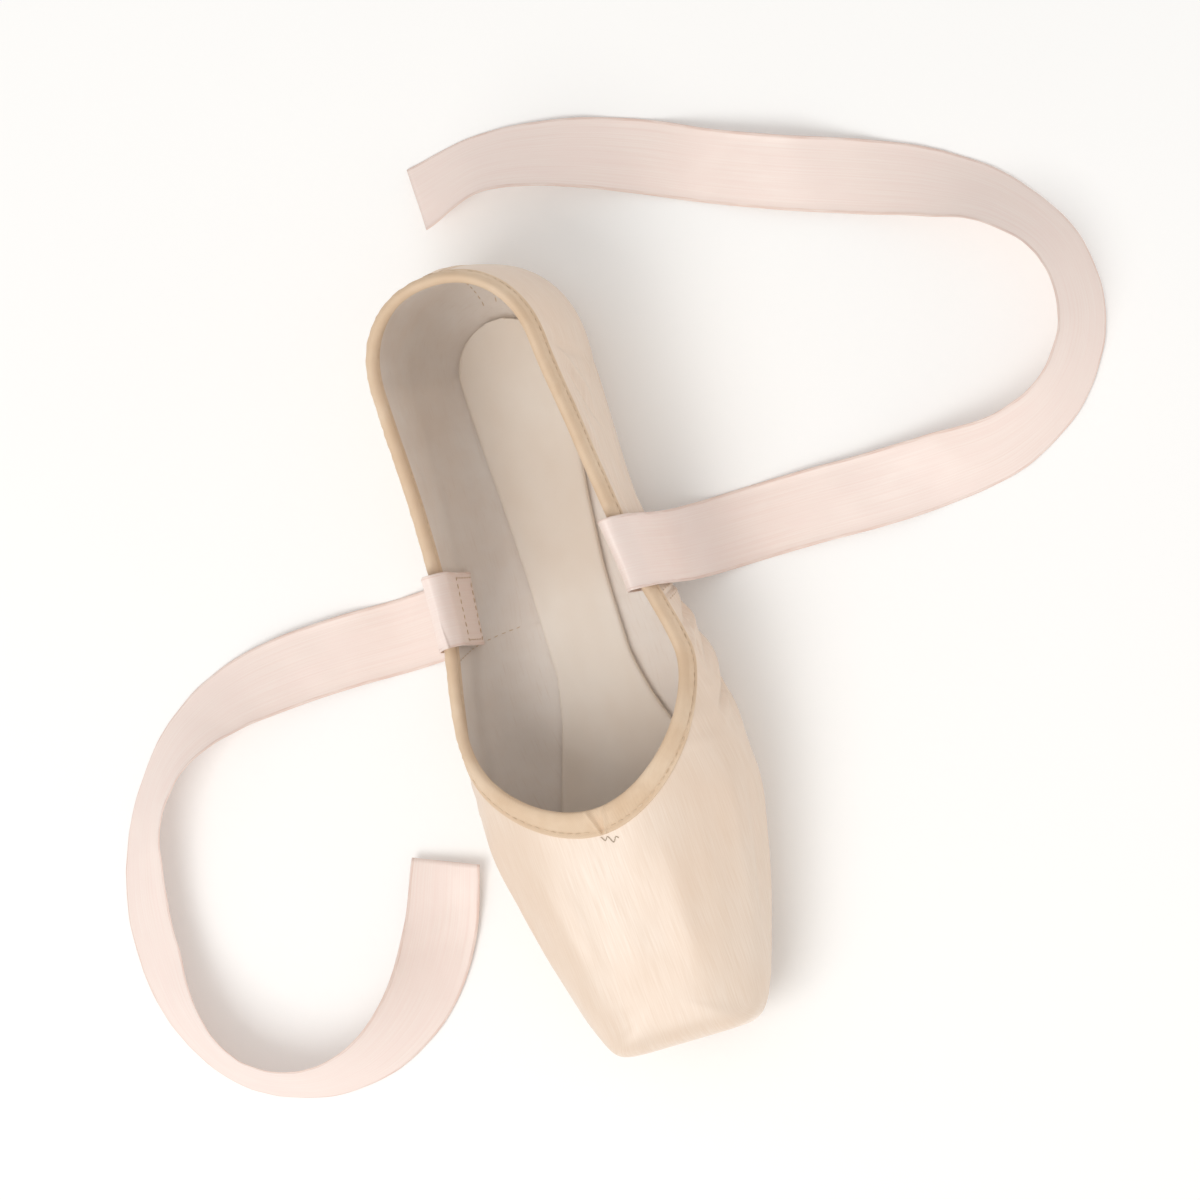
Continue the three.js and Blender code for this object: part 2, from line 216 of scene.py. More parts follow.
def wander(x, pitch, phase=0.0):
    """An uneven wave of about that pitch, between -1 and 1."""
    k = 2 * math.pi / pitch
    slow = 1.3 * np.sin(0.23 * k * x + phase) + 0.7 * np.sin(0.41 * k * x + 2.1 * phase)
    return 0.65 * np.sin(k * x + slow + phase) + 0.35 * np.sin(0.57 * k * x - slow + 1.7 * phase)


def steps(start, end, count):
    return np.linspace(start, end, count + 1)


def running_length(line):
    """How far along a line each of its points lies."""
    hops = np.linalg.norm(np.diff(line, axis=0), axis=1)
    return np.concatenate([[0], np.cumsum(hops)])


# Ribs of the last ---------------------------------------------------------------------------------


class Rib:
    """An upright plane that leaves the shoe's spine at station centre and meets the widest line at
    half width x and station s."""

    def __init__(self, s, centre=None, x=None):
        self.centre = s if centre is None else centre
        self.s = s
        self.x = float(last("half", s)) if x is None else x
        self.dome = float(last("dome", self.centre))
        self.belly = SIDE_BELLY
        self.tuck = float(last("half", self.centre) - foot_half(self.centre))
        self.margin = LASTING_MARGIN

    def reach(self):
        return math.hypot(self.x, self.s - self.centre)


def end_rib(centre, reach, plan, turn):
    s = centre + reach * math.sin(turn) ** (2 / plan)
    x = 0.0 if turn >= QUARTER_TURN else float(last("half", s)) * math.cos(turn) ** (2 / plan)
    return Rib(s, centre, x)


def heel_rib(turn):
    return end_rib(HEEL_CENTRE, -HEEL_CENTRE, HEEL_PLAN, turn)


def toe_rib(turn):
    rib = end_rib(TOE_CENTRE, LENGTH - TOE_CENTRE, TOE_PLAN, turn)
    front = math.sin(turn) ** 2
    rib.dome = mix(rib.dome, TOE_DOME, front)
    rib.belly = mix(rib.belly, TOE_BELLY, front)
    side_share = rib.tuck / float(last("half", TOE_CENTRE))
    front_share = TOE_TUCK / (LENGTH - TOE_CENTRE)
    rib.tuck = rib.reach() * mix(side_share, front_share, math.sin(turn))
    rib.margin = mix(rib.margin, rib.reach() - rib.tuck - TOE_OPENING, min(turn / TOE_TURN_IN, 1))
    return rib


def place(x, s, z):
    x, s, z = np.broadcast_arrays(np.asarray(x, float), np.asarray(s, float), np.asarray(z, float))
    return np.stack([x, LENGTH / 2 - s, z], axis=-1)


def point_on(rib, angle, inset=0.0):
    """Points of the last on one rib: angle is 0 on the widest line, a quarter turn on the crown and
    minus a quarter turn on the feather edge. inset moves them into the wall."""
    angle = np.asarray(angle, float)
    full = 1 - inset / rib.reach()
    foot = 1 - rib.tuck / rib.reach()
    above = angle >= 0
    power = np.where(above, 2 / rib.dome, 2 / rib.belly)
    out = np.maximum(np.cos(angle), 0) ** power
    up = np.abs(np.sin(angle)) ** power
    along = np.where(above, full * out, mix(foot, full, out))
    s = mix(rib.centre, rib.s, along)
    widest = last("widest", s)
    goal = np.where(above, last("crown", s) - inset, underside(s) + inset)
    return place(rib.x * along, s, mix(widest, goal, up))


def margin_points(rib, inset, count):
    """From the feather edge to the edge of the satin that is turned in under the foot."""
    along = 1 - (rib.tuck + rib.margin * steps(0, 1, count)[1:]) / rib.reach()
    s = mix(rib.centre, rib.s, along)
    return place(rib.x * along, s, underside(s) + inset)


def angle_at_height(rib, z):
    """The angle of the rib's point at height z."""
    widest = float(last("widest", rib.s))
    if z >= widest:
        share = (z - widest) / (float(last("crown", rib.s)) - widest)
        return math.asin(min(share, 1.0) ** (rib.dome / 2))
    share = (widest - z) / (widest - float(underside(rib.s)))
    return -math.asin(min(share, 1.0) ** (rib.belly / 2))


def slide(rib, angle, distance):
    """The angle a given distance down the rib from another."""
    angles = np.arange(angle, -QUARTER_TURN, -math.radians(0.5))
    return float(np.interp(distance, running_length(point_on(rib, angles)), angles))


class Stop:
    """A place along the collar: on a rib of the heel or the side, or at a turn of the round throat."""

    def __init__(self, rib=None, turn=None):
        self.rib = rib
        self.turn = turn

    def at(self, drop):
        """The rib and the angle of the line that runs drop below the collar's edge."""
        turn = QUARTER_TURN if self.turn is None else self.turn
        throat = THROAT - THROAT_RADIUS + (THROAT_RADIUS + drop) * math.cos(turn)
        rib = Rib(throat) if self.rib is None else self.rib
        edge = angle_at_height(rib, float(read(TOPLINE, "height", rib.s)))
        cosine = math.cos(slide(rib, edge, drop)) * max(math.sin(turn), 0.0) ** (rib.dome / 2)
        return rib, math.acos(min(max(cosine, 0.0), 1.0))


FOLD_TURN = 0.15    # the turn of the throat where the tape's folded ends begin


def collar_stops(heel, side, seam, front, throat, fold=5):
    """Stops from the heel's middle to the throat's, closer together where the side seam crosses."""
    seam_start, seam_end = SEAM_AT_SOLE - 2, SEAM_AT_COLLAR + 2
    stations = np.concatenate([
        steps(HEEL_CENTRE, seam_start, side)[1:],
        steps(seam_start, seam_end, seam)[1:],
        steps(seam_end, THROAT - THROAT_RADIUS, front)[1:],
    ])
    return [
        *[Stop(heel_rib(t)) for t in steps(QUARTER_TURN, 0, heel)],
        *[Stop(Rib(float(s))) for s in stations],
        *[Stop(turn=float(t)) for t in steps(QUARTER_TURN, FOLD_TURN, throat)[1:]],
        *[Stop(turn=float(t)) for t in steps(FOLD_TURN, 0, fold)[1:]],
    ]


def side_point(side, s, z):
    """The point of the upper at station s and height z, on the right (1) or left (-1) side."""
    rib = Rib(float(s))
    return point_on(rib, angle_at_height(rib, z)) * [side, 1, 1]


def vamp_point(x, s):
    """The point of the vamp's top at x across and station s."""
    rib = Rib(float(s))
    angle = math.acos(min(abs(x) / rib.x, 1.0) ** (rib.dome / 2))
    return point_on(rib, angle) * [1 if x >= 0 else -1, 1, 1]


# Meshes -------------------------------------------------------------------------------------------


MIRROR = np.array([-1, 1, 1])
WELD = 1e-4    # points that agree to this become one


def both_halves(rows):
    """The points of the right half's rows, then their mirror images."""
    return np.concatenate([rows.reshape(-1, 3), (rows * MIRROR).reshape(-1, 3)])


def grid_faces(rows, columns, ring):
    """Quads between neighbouring rows of points, a row closing on itself if ring is true."""
    r, c = np.meshgrid(np.arange(rows - 1), np.arange(columns if ring else columns - 1), indexing="ij")
    after = (c + 1) % columns
    quads = [r * columns + c, (r + 1) * columns + c, (r + 1) * columns + after, r * columns + after]
    return np.stack(quads, axis=-1).reshape(-1, 4)


def welded(points, faces, *per_point):
    """Points that meet become one, and what is left of each face."""
    keys = np.round(points / WELD).astype(np.int64)
    _, first, inverse = np.unique(keys, axis=0, return_index=True, return_inverse=True)
    faces = inverse.reshape(-1)[faces]
    same = faces == np.roll(faces, -1, axis=1)
    kept = same.sum(axis=1) <= 1
    return points[first], faces[kept], kept, *[values[first] for values in per_point]


def polygons(faces):
    """Faces as lists, a corner named twice taken once."""
    return [[v for i, v in enumerate(face) if v != face[i - 1]] for face in faces.tolist()]


def normals_of(points, faces):
    """Unit normals of the points, from the faces round them."""
    a, b, c, d = (points[faces[:, i]] for i in range(4))
    face_normal = np.cross(c - a, d - b)
    total = np.zeros_like(points)
    for i in range(4):
        np.add.at(total, faces[:, i], face_normal)
    return total / np.maximum(np.linalg.norm(total, axis=1, keepdims=True), 1e-9)


def turn_outwards(mesh):
    """Turns a closed mesh's faces round where they point inwards."""
    shell = bmesh.new()
    shell.from_mesh(mesh)
    inwards = shell.calc_volume(signed=True) < 0
    shell.free()
    if inwards:
        mesh.flip_normals()


UV_SIZE = 0.01    # the woven UV maps give 1 for 100 mm


def make_piece(name, points, faces, materials, material_of=None, weave=None):
    """A smooth mesh object from points in millimetres. weave gives each face corner its millimetres
    across and along the cloth."""
    mesh = bpy.data.meshes.new(name)
    rings = polygons(faces) if isinstance(faces, np.ndarray) else faces
    mesh.from_pydata((np.asarray(points) * MM).tolist(), [], rings)
    turn_outwards(mesh)
    for material in materials:
        mesh.materials.append(material)
    mesh.polygons.foreach_set("use_smooth", [True] * len(mesh.polygons))
    if material_of is not None:
        mesh.polygons.foreach_set("material_index", np.asarray(material_of, np.int32))
    if weave is not None:
        corner = np.empty(len(mesh.loops), np.int32)
        mesh.loops.foreach_get("vertex_index", corner)
        size = np.empty(len(mesh.polygons), np.int32)
        mesh.polygons.foreach_get("loop_total", size)
        owner = np.repeat(np.arange(len(size)), size)
        layer = mesh.uv_layers.new(name="weave")
        layer.data.foreach_set("uv", (weave(corner, owner) * UV_SIZE).astype(np.float32).ravel())
    mesh.update()
    made = bpy.data.objects.new(name, mesh)
    bpy.context.collection.objects.link(made)
    return made


def capped(rows):
    """Points and faces of a solid lofted through closed rows, with both ends filled."""
    count, around = rows.shape[:2]
    sides = grid_faces(count, around, ring=True).tolist()
    first = list(range(around))
    end = [(count - 1) * around + i for i in range(around)][::-1]
    return rows.reshape(-1, 3), [*sides, first, end]


def finished(piece, slot, *nodes):
    """Every piece is part of the one unjointed body."""
    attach(piece, "root")
    if nodes:
        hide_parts(*nodes)
    return piece


# Material nodes -----------------------------------------------------------------------------------


WAVE_SCALE = 0.3183    # the scale at which a wave texture's bands lie about one unit apart


class Finish:
    """A material and short ways to add its nodes."""

    def __init__(self, name):
        self.material = bpy.data.materials.new(name)
        self.material.use_nodes = True
        self.tree = self.material.node_tree
        self.shader = self.tree.nodes["Principled BSDF"]

    def node(self, kind, inputs=None, **settings):
        made = self.tree.nodes.new(kind)
        for name, value in settings.items():
            setattr(made, name, value)
        for name, value in (inputs or {}).items():
            self.put(made.inputs[name], value)
        return made

    def put(self, socket, value):
        if isinstance(value, bpy.types.NodeSocket):
            self.tree.links.new(value, socket)
        else:
            socket.default_value = value

    def set(self, **values):
        for name, value in values.items():
            self.put(self.shader.inputs[name.replace("_", " ")], value)

    def maths(self, operation, *values):
        made = self.node("ShaderNodeMath", operation=operation)
        for socket, value in zip(made.inputs, values):
            self.put(socket, value)
        return made.outputs[0]

    def body_millimetres(self, x, y, z):
        """Object coordinates stretched so that a pattern's feature is x by y by z millimetres."""
        place = self.node("ShaderNodeTexCoord").outputs["Object"]
        scale = (1 / (x * MM), 1 / (y * MM), 1 / (z * MM))
        return self.node("ShaderNodeMapping", {"Vector": place, "Scale": scale}).outputs[0]

    def cloth_millimetres(self, across, along):
        """The woven UV map stretched so that a pattern's feature is across by along millimetres."""
        place = self.node("ShaderNodeUVMap", uv_map="weave").outputs[0]
        scale = (1 / (across * UV_SIZE), 1 / (along * UV_SIZE), 1)
        return self.node("ShaderNodeMapping", {"Vector": place, "Scale": scale}).outputs[0]

    def turned(self, vector, angles):
        """Coordinates turned by three angles, in radians."""
        return self.node("ShaderNodeMapping", {"Vector": vector, "Rotation": angles}).outputs[0]

    def gloss_along_weave(self):
        """Draws the gloss out along the threads of the woven UV map."""
        threads = self.node("ShaderNodeTangent", direction_type="UV_MAP", uv_map="weave")
        self.put(self.shader.inputs["Tangent"], threads.outputs[0])

    def noise(self, vector, detail=2.0, roughness=0.5, distortion=0.0):
        inputs = {
            "Vector": vector,
            "Scale": 1.0,
            "Detail": detail,
            "Roughness": roughness,
            "Distortion": distortion,
        }
        return self.node("ShaderNodeTexNoise", inputs).outputs[0]

    def wave(self, vector, direction, distortion):
        inputs = {
            "Vector": vector,
            "Scale": WAVE_SCALE,
            "Distortion": distortion,
            "Detail": 1.0,
            "Detail Scale": 1.0,
        }
        return self.node("ShaderNodeTexWave", inputs, bands_direction=direction).outputs[1]

    def cells(self, vector):
        return self.node("ShaderNodeTexVoronoi", {"Vector": vector, "Scale": 1.0}).outputs[0]

    def between(self, value, low, high, to_low=0.0, to_high=1.0):
        inputs = {0: value, 1: low, 2: high, 3: to_low, 4: to_high}
        return self.node("ShaderNodeMapRange", inputs).outputs[0]

    def blend(self, factor, first, second):
        """Two colours mixed; the mix node's colour sockets are its inputs 6 and 7 and its output 2."""
        inputs = {0: factor, 6: first, 7: second}
        return self.node("ShaderNodeMix", inputs, data_type="RGBA").outputs[2]

    def bumps(self, *layers):
        """Bump nodes one on another: each layer is a height and its depth in millimetres."""
        normal = None
        for height, depth in layers:
            made = self.node("ShaderNodeBump", {"Height": height, "Distance": depth * MM, "Strength": 1.0})
            if normal is not None:
                self.put(made.inputs["Normal"], normal)
            normal = made.outputs[0]
        self.put(self.shader.inputs["Normal"], normal)


def linear(red, green, blue):
    """A colour given in ordinary 0 to 255 values, as the shader's linear one."""
    def channel(value):
        value /= 255
        return value / 12.92 if value <= 0.04045 else ((value + 0.055) / 1.055) ** 2.4

    return (channel(red), channel(green), channel(blue), 1.0)


def shoe_satin(name, pale, deep, warm):
    finish = Finish(name)
    streaks = finish.noise(finish.cloth_millimetres(0.45, 11), detail=3)
    broad = finish.noise(finish.cloth_millimetres(7, 44), detail=2)
    threads = finish.noise(finish.cloth_millimetres(0.22, 2.4), detail=2)
    mottle = finish.noise(finish.body_millimetres(20, 30, 20), detail=2)
    silk = finish.blend(finish.between(streaks, 0.3, 0.75), pale, deep)
    warmth = finish.between(mottle, 0.35, 0.75, 0.0, 0.45)
    colour = finish.blend(warmth, silk, warm)
    fine_gloss = finish.between(streaks, 0.3, 0.7, 0.32, 0.38)
    gloss = finish.maths("ADD", fine_gloss, finish.between(broad, 0.3, 0.7, -0.03, 0.04))
    finish.set(Base_Color=colour, Roughness=gloss, Specular_IOR_Level=0.9, Anisotropic=0.4)
    finish.set(Sheen_Weight=0.3, Sheen_Roughness=0.3, Sheen_Tint=linear(255, 246, 236))
    finish.gloss_along_weave()
    finish.bumps((mottle, 0.35), (broad, 0.09), (streaks, 0.012), (threads, 0.010))
    return finish.material


def lining_cotton():
    finish = Finish("lining cotton")
    warp = finish.wave(finish.cloth_millimetres(0.16, 0.16), "X", distortion=0.6)
    weft = finish.wave(finish.cloth_millimetres(0.16, 0.16), "Y", distortion=0.6)
    weave = finish.maths("MAXIMUM", warp, weft)
    slub = finish.noise(finish.cloth_millimetres(0.7, 8), detail=3)
    mottle = finish.noise(finish.body_millimetres(14, 14, 14), detail=3)
    colour = finish.blend(finish.between(mottle, 0.3, 0.7), linear(252, 244, 236), linear(247, 235, 224))
    colour = finish.blend(finish.between(slub, 0.55, 0.8, 0, 0.4), colour, linear(234, 217, 201))
    roughness = finish.between(weave, 0, 1, 0.92, 0.78)
    finish.set(Base_Color=colour, Roughness=roughness, Specular_IOR_Level=0.25)
    finish.set(Sheen_Weight=0.2, Sheen_Roughness=0.6)
    finish.bumps((mottle, 0.3), (slub, 0.05), (weave, 0.05))
    return finish.material


def binding_tape():
    finish = Finish("binding tape")
    twill = finish.wave(finish.turned(finish.cloth_millimetres(0.42, 0.42), (0, 0, 0.9)), "X", distortion=0.4)
    slub = finish.noise(finish.cloth_millimetres(4.5, 0.6), detail=3)
    mottle = finish.noise(finish.body_millimetres(11, 11, 11), detail=3)
    colour = finish.blend(finish.between(mottle, 0.3, 0.7), linear(238, 214, 187), linear(226, 197, 166))
    colour = finish.blend(finish.between(twill, 0.0, 1.0, 0.0, 0.22), colour, linear(202, 170, 136))
    roughness = finish.between(slub, 0.3, 0.7, 0.56, 0.72)
    finish.set(Base_Color=colour, Roughness=roughness, Specular_IOR_Level=0.35)
    finish.set(Sheen_Weight=0.25, Sheen_Roughness=0.45, Sheen_Tint=linear(255, 238, 214))
    finish.bumps((mottle, 0.15), (slub, 0.06), (twill, 0.05))
    return finish.material


def ribbon_satin():
    finish = Finish("ribbon satin")
    streaks = finish.noise(finish.cloth_millimetres(0.4, 40), detail=3)
    threads = finish.noise(finish.cloth_millimetres(0.2, 1.6), detail=2)
    moire = finish.noise(finish.cloth_millimetres(7, 16), detail=2, distortion=0.6)
    colour = finish.blend(finish.between(streaks, 0.3, 0.75), linear(250, 235, 227), linear(246, 226, 217))
    colour = finish.blend(finish.between(moire, 0.4, 0.8, 0, 0.35), colour, linear(248, 225, 218))
    roughness = finish.between(moire, 0.3, 0.7, 0.33, 0.45)
    finish.set(Base_Color=colour, Roughness=roughness, Specular_IOR_Level=0.5)
    finish.set(Anisotropic=0.5, Sheen_Weight=0.15, Sheen_Roughness=0.35, Sheen_Tint=linear(255, 236, 230))
    finish.gloss_along_weave()
    finish.bumps((moire, 0.12), (streaks, 0.02), (threads, 0.012))
    return finish.material


def ribbon_selvedge():
    finish = Finish("ribbon selvedge")
    picks = finish.wave(finish.cloth_millimetres(0.3, 0.3), "Y", distortion=0.3)
    slub = finish.noise(finish.cloth_millimetres(0.6, 9), detail=2)
    colour = finish.blend(finish.between(slub, 0.3, 0.7), linear(250, 234, 225), linear(238, 210, 198))
    roughness = finish.between(picks, 0, 1, 0.62, 0.5)
    finish.set(Base_Color=colour, Roughness=roughness, Specular_IOR_Level=0.4)
    finish.set(Sheen_Weight=0.2, Sheen_Roughness=0.4)
    finish.bumps((slub, 0.04), (picks, 0.05))
    return finish.material


def sole_leather():
    finish = Finish("sole leather")
    nap = finish.noise(finish.body_millimetres(0.7, 1.1, 0.7), detail=5, roughness=0.65)
    cloud = finish.noise(finish.body_millimetres(17, 24, 17), detail=4, roughness=0.6)
    pores = finish.cells(finish.body_millimetres(0.9, 0.9, 0.9))
    scuffs = finish.noise(finish.body_millimetres(1.2, 22, 1.2), detail=3, distortion=0.8)
    colour = finish.blend(finish.between(cloud, 0.3, 0.7), linear(214, 182, 158), linear(190, 156, 132))
    colour = finish.blend(finish.between(nap, 0.45, 0.75, 0, 0.5), colour, linear(168, 132, 108))
    colour = finish.blend(finish.between(scuffs, 0.62, 0.8, 0, 0.45), colour, linear(228, 204, 184))
    roughness = finish.between(nap, 0.3, 0.7, 0.58, 0.82)
    finish.set(Base_Color=colour, Roughness=roughness, Specular_IOR_Level=0.35)
    finish.set(Sheen_Weight=0.15, Sheen_Roughness=0.5)
    finish.bumps((cloud, 0.2), (scuffs, 0.05), (nap, 0.09), (pores, 0.05))
    return finish.material


def sole_edge():
    # The outsole's side edge strip is coloured a darker brown than its underside.
    finish = Finish("dark sole edge")
    fibres = finish.noise(finish.body_millimetres(3.5, 3.5, 0.25), detail=4)
    cloud = finish.noise(finish.body_millimetres(9, 9, 3), detail=3)
    colour = finish.blend(finish.between(fibres, 0.3, 0.7), linear(134, 96, 72), linear(102, 70, 52))
    colour = finish.blend(finish.between(cloud, 0.5, 0.8, 0, 0.5), colour, linear(176, 138, 110))
    finish.set(Base_Color=colour, Roughness=finish.between(cloud, 0.3, 0.7, 0.38, 0.56))
    finish.bumps((cloud, 0.1), (fibres, 0.06))
    return finish.material


def insole_cloth():
    finish = Finish("insole cloth")
    warp = finish.wave(finish.body_millimetres(0.26, 0.26, 0.26), "X", distortion=0.8)
    weft = finish.wave(finish.body_millimetres(0.26, 0.26, 0.26), "Y", distortion=0.8)
    weave = finish.maths("MULTIPLY", warp, weft)
    wear = finish.noise(finish.body_millimetres(22, 38, 22), detail=3)
    colour = finish.blend(finish.between(wear, 0.35, 0.7), linear(251, 243, 233), linear(243, 230, 216))
    colour = finish.blend(finish.between(weave, 0, 1, 0.2, 0.0), colour, linear(219, 200, 180))
    roughness = finish.between(wear, 0.3, 0.7, 0.75, 0.92)
    finish.set(Base_Color=colour, Roughness=roughness, Specular_IOR_Level=0.25)
    finish.set(Sheen_Weight=0.15, Sheen_Roughness=0.6)
    finish.bumps((wear, 0.25), (weave, 0.06))
    return finish.material


def sewing_thread(name, pale, deep):
    finish = Finish(name)
    slanted = finish.turned(finish.body_millimetres(0.3, 0.3, 0.3), (0.6, 0.7, 0.8))
    twist = finish.wave(slanted, "X", distortion=0.5)
    tone = finish.noise(finish.body_millimetres(5, 5, 5), detail=2)
    colour = finish.blend(finish.between(tone, 0.3, 0.7), pale, deep)
    roughness = finish.between(twist, 0, 1, 0.62, 0.45)
    finish.set(Base_Color=colour, Roughness=roughness, Specular_IOR_Level=0.45)
    finish.set(Sheen_Weight=0.2, Sheen_Roughness=0.4)
    finish.bumps((twist, 0.06))
    return finish.material


SATIN = shoe_satin(
    "shoe satin", pale=linear(239, 221, 204), deep=linear(230, 208, 187), warm=linear(232, 203, 177)
)
TAPE_SATIN = shoe_satin(
    "heel tape satin", pale=linear(236, 212, 185), deep=linear(222, 194, 162), warm=linear(226, 193, 158)
)
LINING = lining_cotton()
BINDING = binding_tape()
RIBBON = ribbon_satin()
SELVEDGE = ribbon_selvedge()
LEATHER = sole_leather()
LEATHER_EDGE = sole_edge()
INSOLE = insole_cloth()
CREAM_THREAD = sewing_thread("cream thread", linear(233, 211, 184), linear(208, 182, 151))
SOLE_THREAD = sewing_thread("waxed sole thread", linear(238, 216, 186), linear(214, 186, 152))
GREY_THREAD = sewing_thread("grey tacking thread", linear(204, 188, 168), linear(178, 162, 142))

# Camera, light and floor --------------------------------------------------------------------------

CAMERA_LENS = 180
CAMERA_DISTANCE = 1.75
SENSOR_WIDTH = 36
CAMERA_TARGET = Vector((0.011, 0.013, 0.02))
LEAN_RIGHT = math.radians(17)    # how far the camera stands over the shoe's right side
LEAN_TOE = math.radians(4)       # and how far towards the toe
TOE_ROLL = math.radians(16.5)    # the toe points this far right of straight down
KEY_PLACE = Vector((-0.58, -0.56, 1.26))    # from the camera's target, as the fill's distances are
FILL_RIGHT = 1.3
FILL_BACK = 0.5
FLOOR_HALF = 9000


def view_axes():
    """The camera's right, up and backward directions."""
    back = Vector((
        math.sin(LEAN_RIGHT),
        -math.sin(LEAN_TOE) * math.cos(LEAN_RIGHT),
        math.cos(LEAN_RIGHT) * math.cos(LEAN_TOE),
    )).normalized()
    toe = Vector((0, -1, 0))
    toe = (toe - back * toe.dot(back)).normalized()
    cross = back.cross(toe)
    right = toe * math.sin(TOE_ROLL) + cross * math.cos(TOE_ROLL)
    up = cross * math.sin(TOE_ROLL) - toe * math.cos(TOE_ROLL)
    return right, up, back


def add_camera():
    right, up, back = view_axes()
    camera = bpy.data.objects.new("camera", bpy.data.cameras.new("camera"))
    camera.data.lens = CAMERA_LENS
    camera.data.sensor_width = SENSOR_WIDTH
    camera.data.clip_start = 0.05
    camera.data.clip_end = 20
    camera.rotation_mode = "QUATERNION"
    camera.rotation_quaternion = Matrix((right, up, back)).transposed().to_quaternion()
    camera.location = CAMERA_TARGET + back * CAMERA_DISTANCE
    bpy.context.collection.objects.link(camera)
    bpy.context.scene.camera = camera


def add_light(name, place, size, power, colour):
    """A square soft box that faces the shoe."""
    data = bpy.data.lights.new(name, "AREA")
    data.shape = "SQUARE"
    data.size = size
    data.energy = power
    data.color = colour
    light = bpy.data.objects.new(name, data)
    light.location = place
    light.rotation_mode = "QUATERNION"
    light.rotation_quaternion = (CAMERA_TARGET - Vector(place)).to_track_quat("-Z", "Y")
    bpy.context.collection.objects.link(light)


def add_world(strength):
    world = bpy.data.worlds.new("studio")
    world.use_nodes = True
    background = world.node_tree.nodes["Background"]
    background.inputs["Color"].default_value = (1.0, 0.985, 0.97, 1)
    background.inputs["Strength"].default_value = strength
    bpy.context.scene.world = world


def add_floor():
    finish = Finish("studio floor")
    tone = finish.noise(finish.body_millimetres(300, 300, 300), detail=2)
    colour = finish.blend(finish.between(tone, 0.3, 0.7), linear(253, 253, 252), linear(251, 251, 250))
    finish.set(Base_Color=colour, Roughness=0.95, Specular_IOR_Level=0.0)
    finish.set(Emission_Color=(1.0, 1.0, 1.0, 1.0), Emission_Strength=0.07)
    corners = FLOOR_HALF * np.array([(-1, -1, 0), (1, -1, 0), (1, 1, 0), (-1, 1, 0)], float)
    floor = make_piece("floor", corners, [[0, 1, 2, 3]], [finish.material])


def add_softboxes():
    """A key that shines back off the vamp's top, and a weak fill from the right."""
    right, _, back = view_axes()
    key_place = CAMERA_TARGET + KEY_PLACE
    fill_place = CAMERA_TARGET + right * FILL_RIGHT + back * FILL_BACK
    add_light("key softbox", key_place, size=0.95, power=9.6, colour=(1.0, 0.985, 0.965))
    add_light("fill softbox", fill_place, size=1.1, power=3, colour=(1.0, 0.97, 0.94))


add_camera()
add_world(strength=0.64)
add_softboxes()
add_floor()
bpy.context.scene.view_settings.view_transform = "Standard"

# Ribbons ------------------------------------------------------------------------------------------


def through(rows, per_span):
    """A smooth curve through rows of numbers, per_span points to a span: centripetal, so that it
    doesn't swing out between uneven rows."""
    rows = np.asarray(rows, float)
    rows = np.vstack([2 * rows[0] - rows[1], rows, 2 * rows[-1] - rows[-2]])
    out = []
    for p0, p1, p2, p3 in zip(rows, rows[1:], rows[2:], rows[3:]):
        d0, d1, d2 = (max(np.linalg.norm(b - a), 1e-6) ** 0.5 for a, b in ((p0, p1), (p1, p2), (p2, p3)))
        leave = ((p1 - p0) / d0 - (p2 - p0) / (d0 + d1) + (p2 - p1) / d1) * d1
        arrive = ((p2 - p1) / d1 - (p3 - p1) / (d1 + d2) + (p3 - p2) / d2) * d1
        for t in np.arange(per_span) / per_span:
            bend = -3 * p1 + 3 * p2 - 2 * leave - arrive
            out.append(p1 + leave * t + bend * t ** 2 + (2 * p1 - 2 * p2 + leave + arrive) * t ** 3)
    out.append(rows[-2])
    return np.array(out)


def unit(vectors):
    return vectors / np.linalg.norm(vectors, axis=-1, keepdims=True)


RIBBON_EDGE = [0, 0.35, 0.9, 1.1]    # columns over a selvedge, from the ribbon's edge in
RIBBON_MIDDLE = [3, 5.5, 8, 11, 14, 16.5, 19]
RIBBON_SECTION = [*RIBBON_EDGE, *RIBBON_MIDDLE, *[RIBBON_WIDTH - at for at in RIBBON_EDGE[::-1]]]
RIBBON_PLY = 0.14         # half the cloth's thickness
SELVEDGE_PLY = 0.07       # added to it in the selvedges
RIBBON_END_PLY = 0.05     # and what is left of it at the two edges
BACK_FACE_WEAVE = 40      # keeps the lower face's pattern apart from the upper face's
LOWEST_CLOTH = 0.04       # how near the floor the ribbon may come
STRETCHED = 0.35          # how much of the ripple shows between the seam and the floor


class RibbonPath:
    """The ribbon's centreline with the directions across it and out of its face."""

    def __init__(self, route, per_span=14):
        route = np.array(route, float)
        lean = np.radians(route[:, 4])
        centre_z = route[:, 2] + RIBBON_FLOOR_ROOM + np.abs(np.sin(lean)) * RIBBON_WIDTH / 2
        self.centre = through(np.column_stack([route[:, :2], centre_z]), per_span)
        facing = through(np.column_stack([route[:, 3:5], np.zeros(len(route))]), per_span)
        bearing = np.radians(facing[:, 0] + 90)
        lean = np.radians(facing[:, 1])
        travel = unit(np.gradient(self.centre, axis=0))
        across = np.column_stack([
            np.cos(bearing) * np.cos(lean),
            np.sin(bearing) * np.cos(lean),
            np.sin(lean),
        ])
        across -= travel * (across * travel).sum(axis=1, keepdims=True)
        self.across = unit(across)
        self.travel = travel
        self.out = np.cross(travel, self.across)
        self.along = running_length(self.centre)


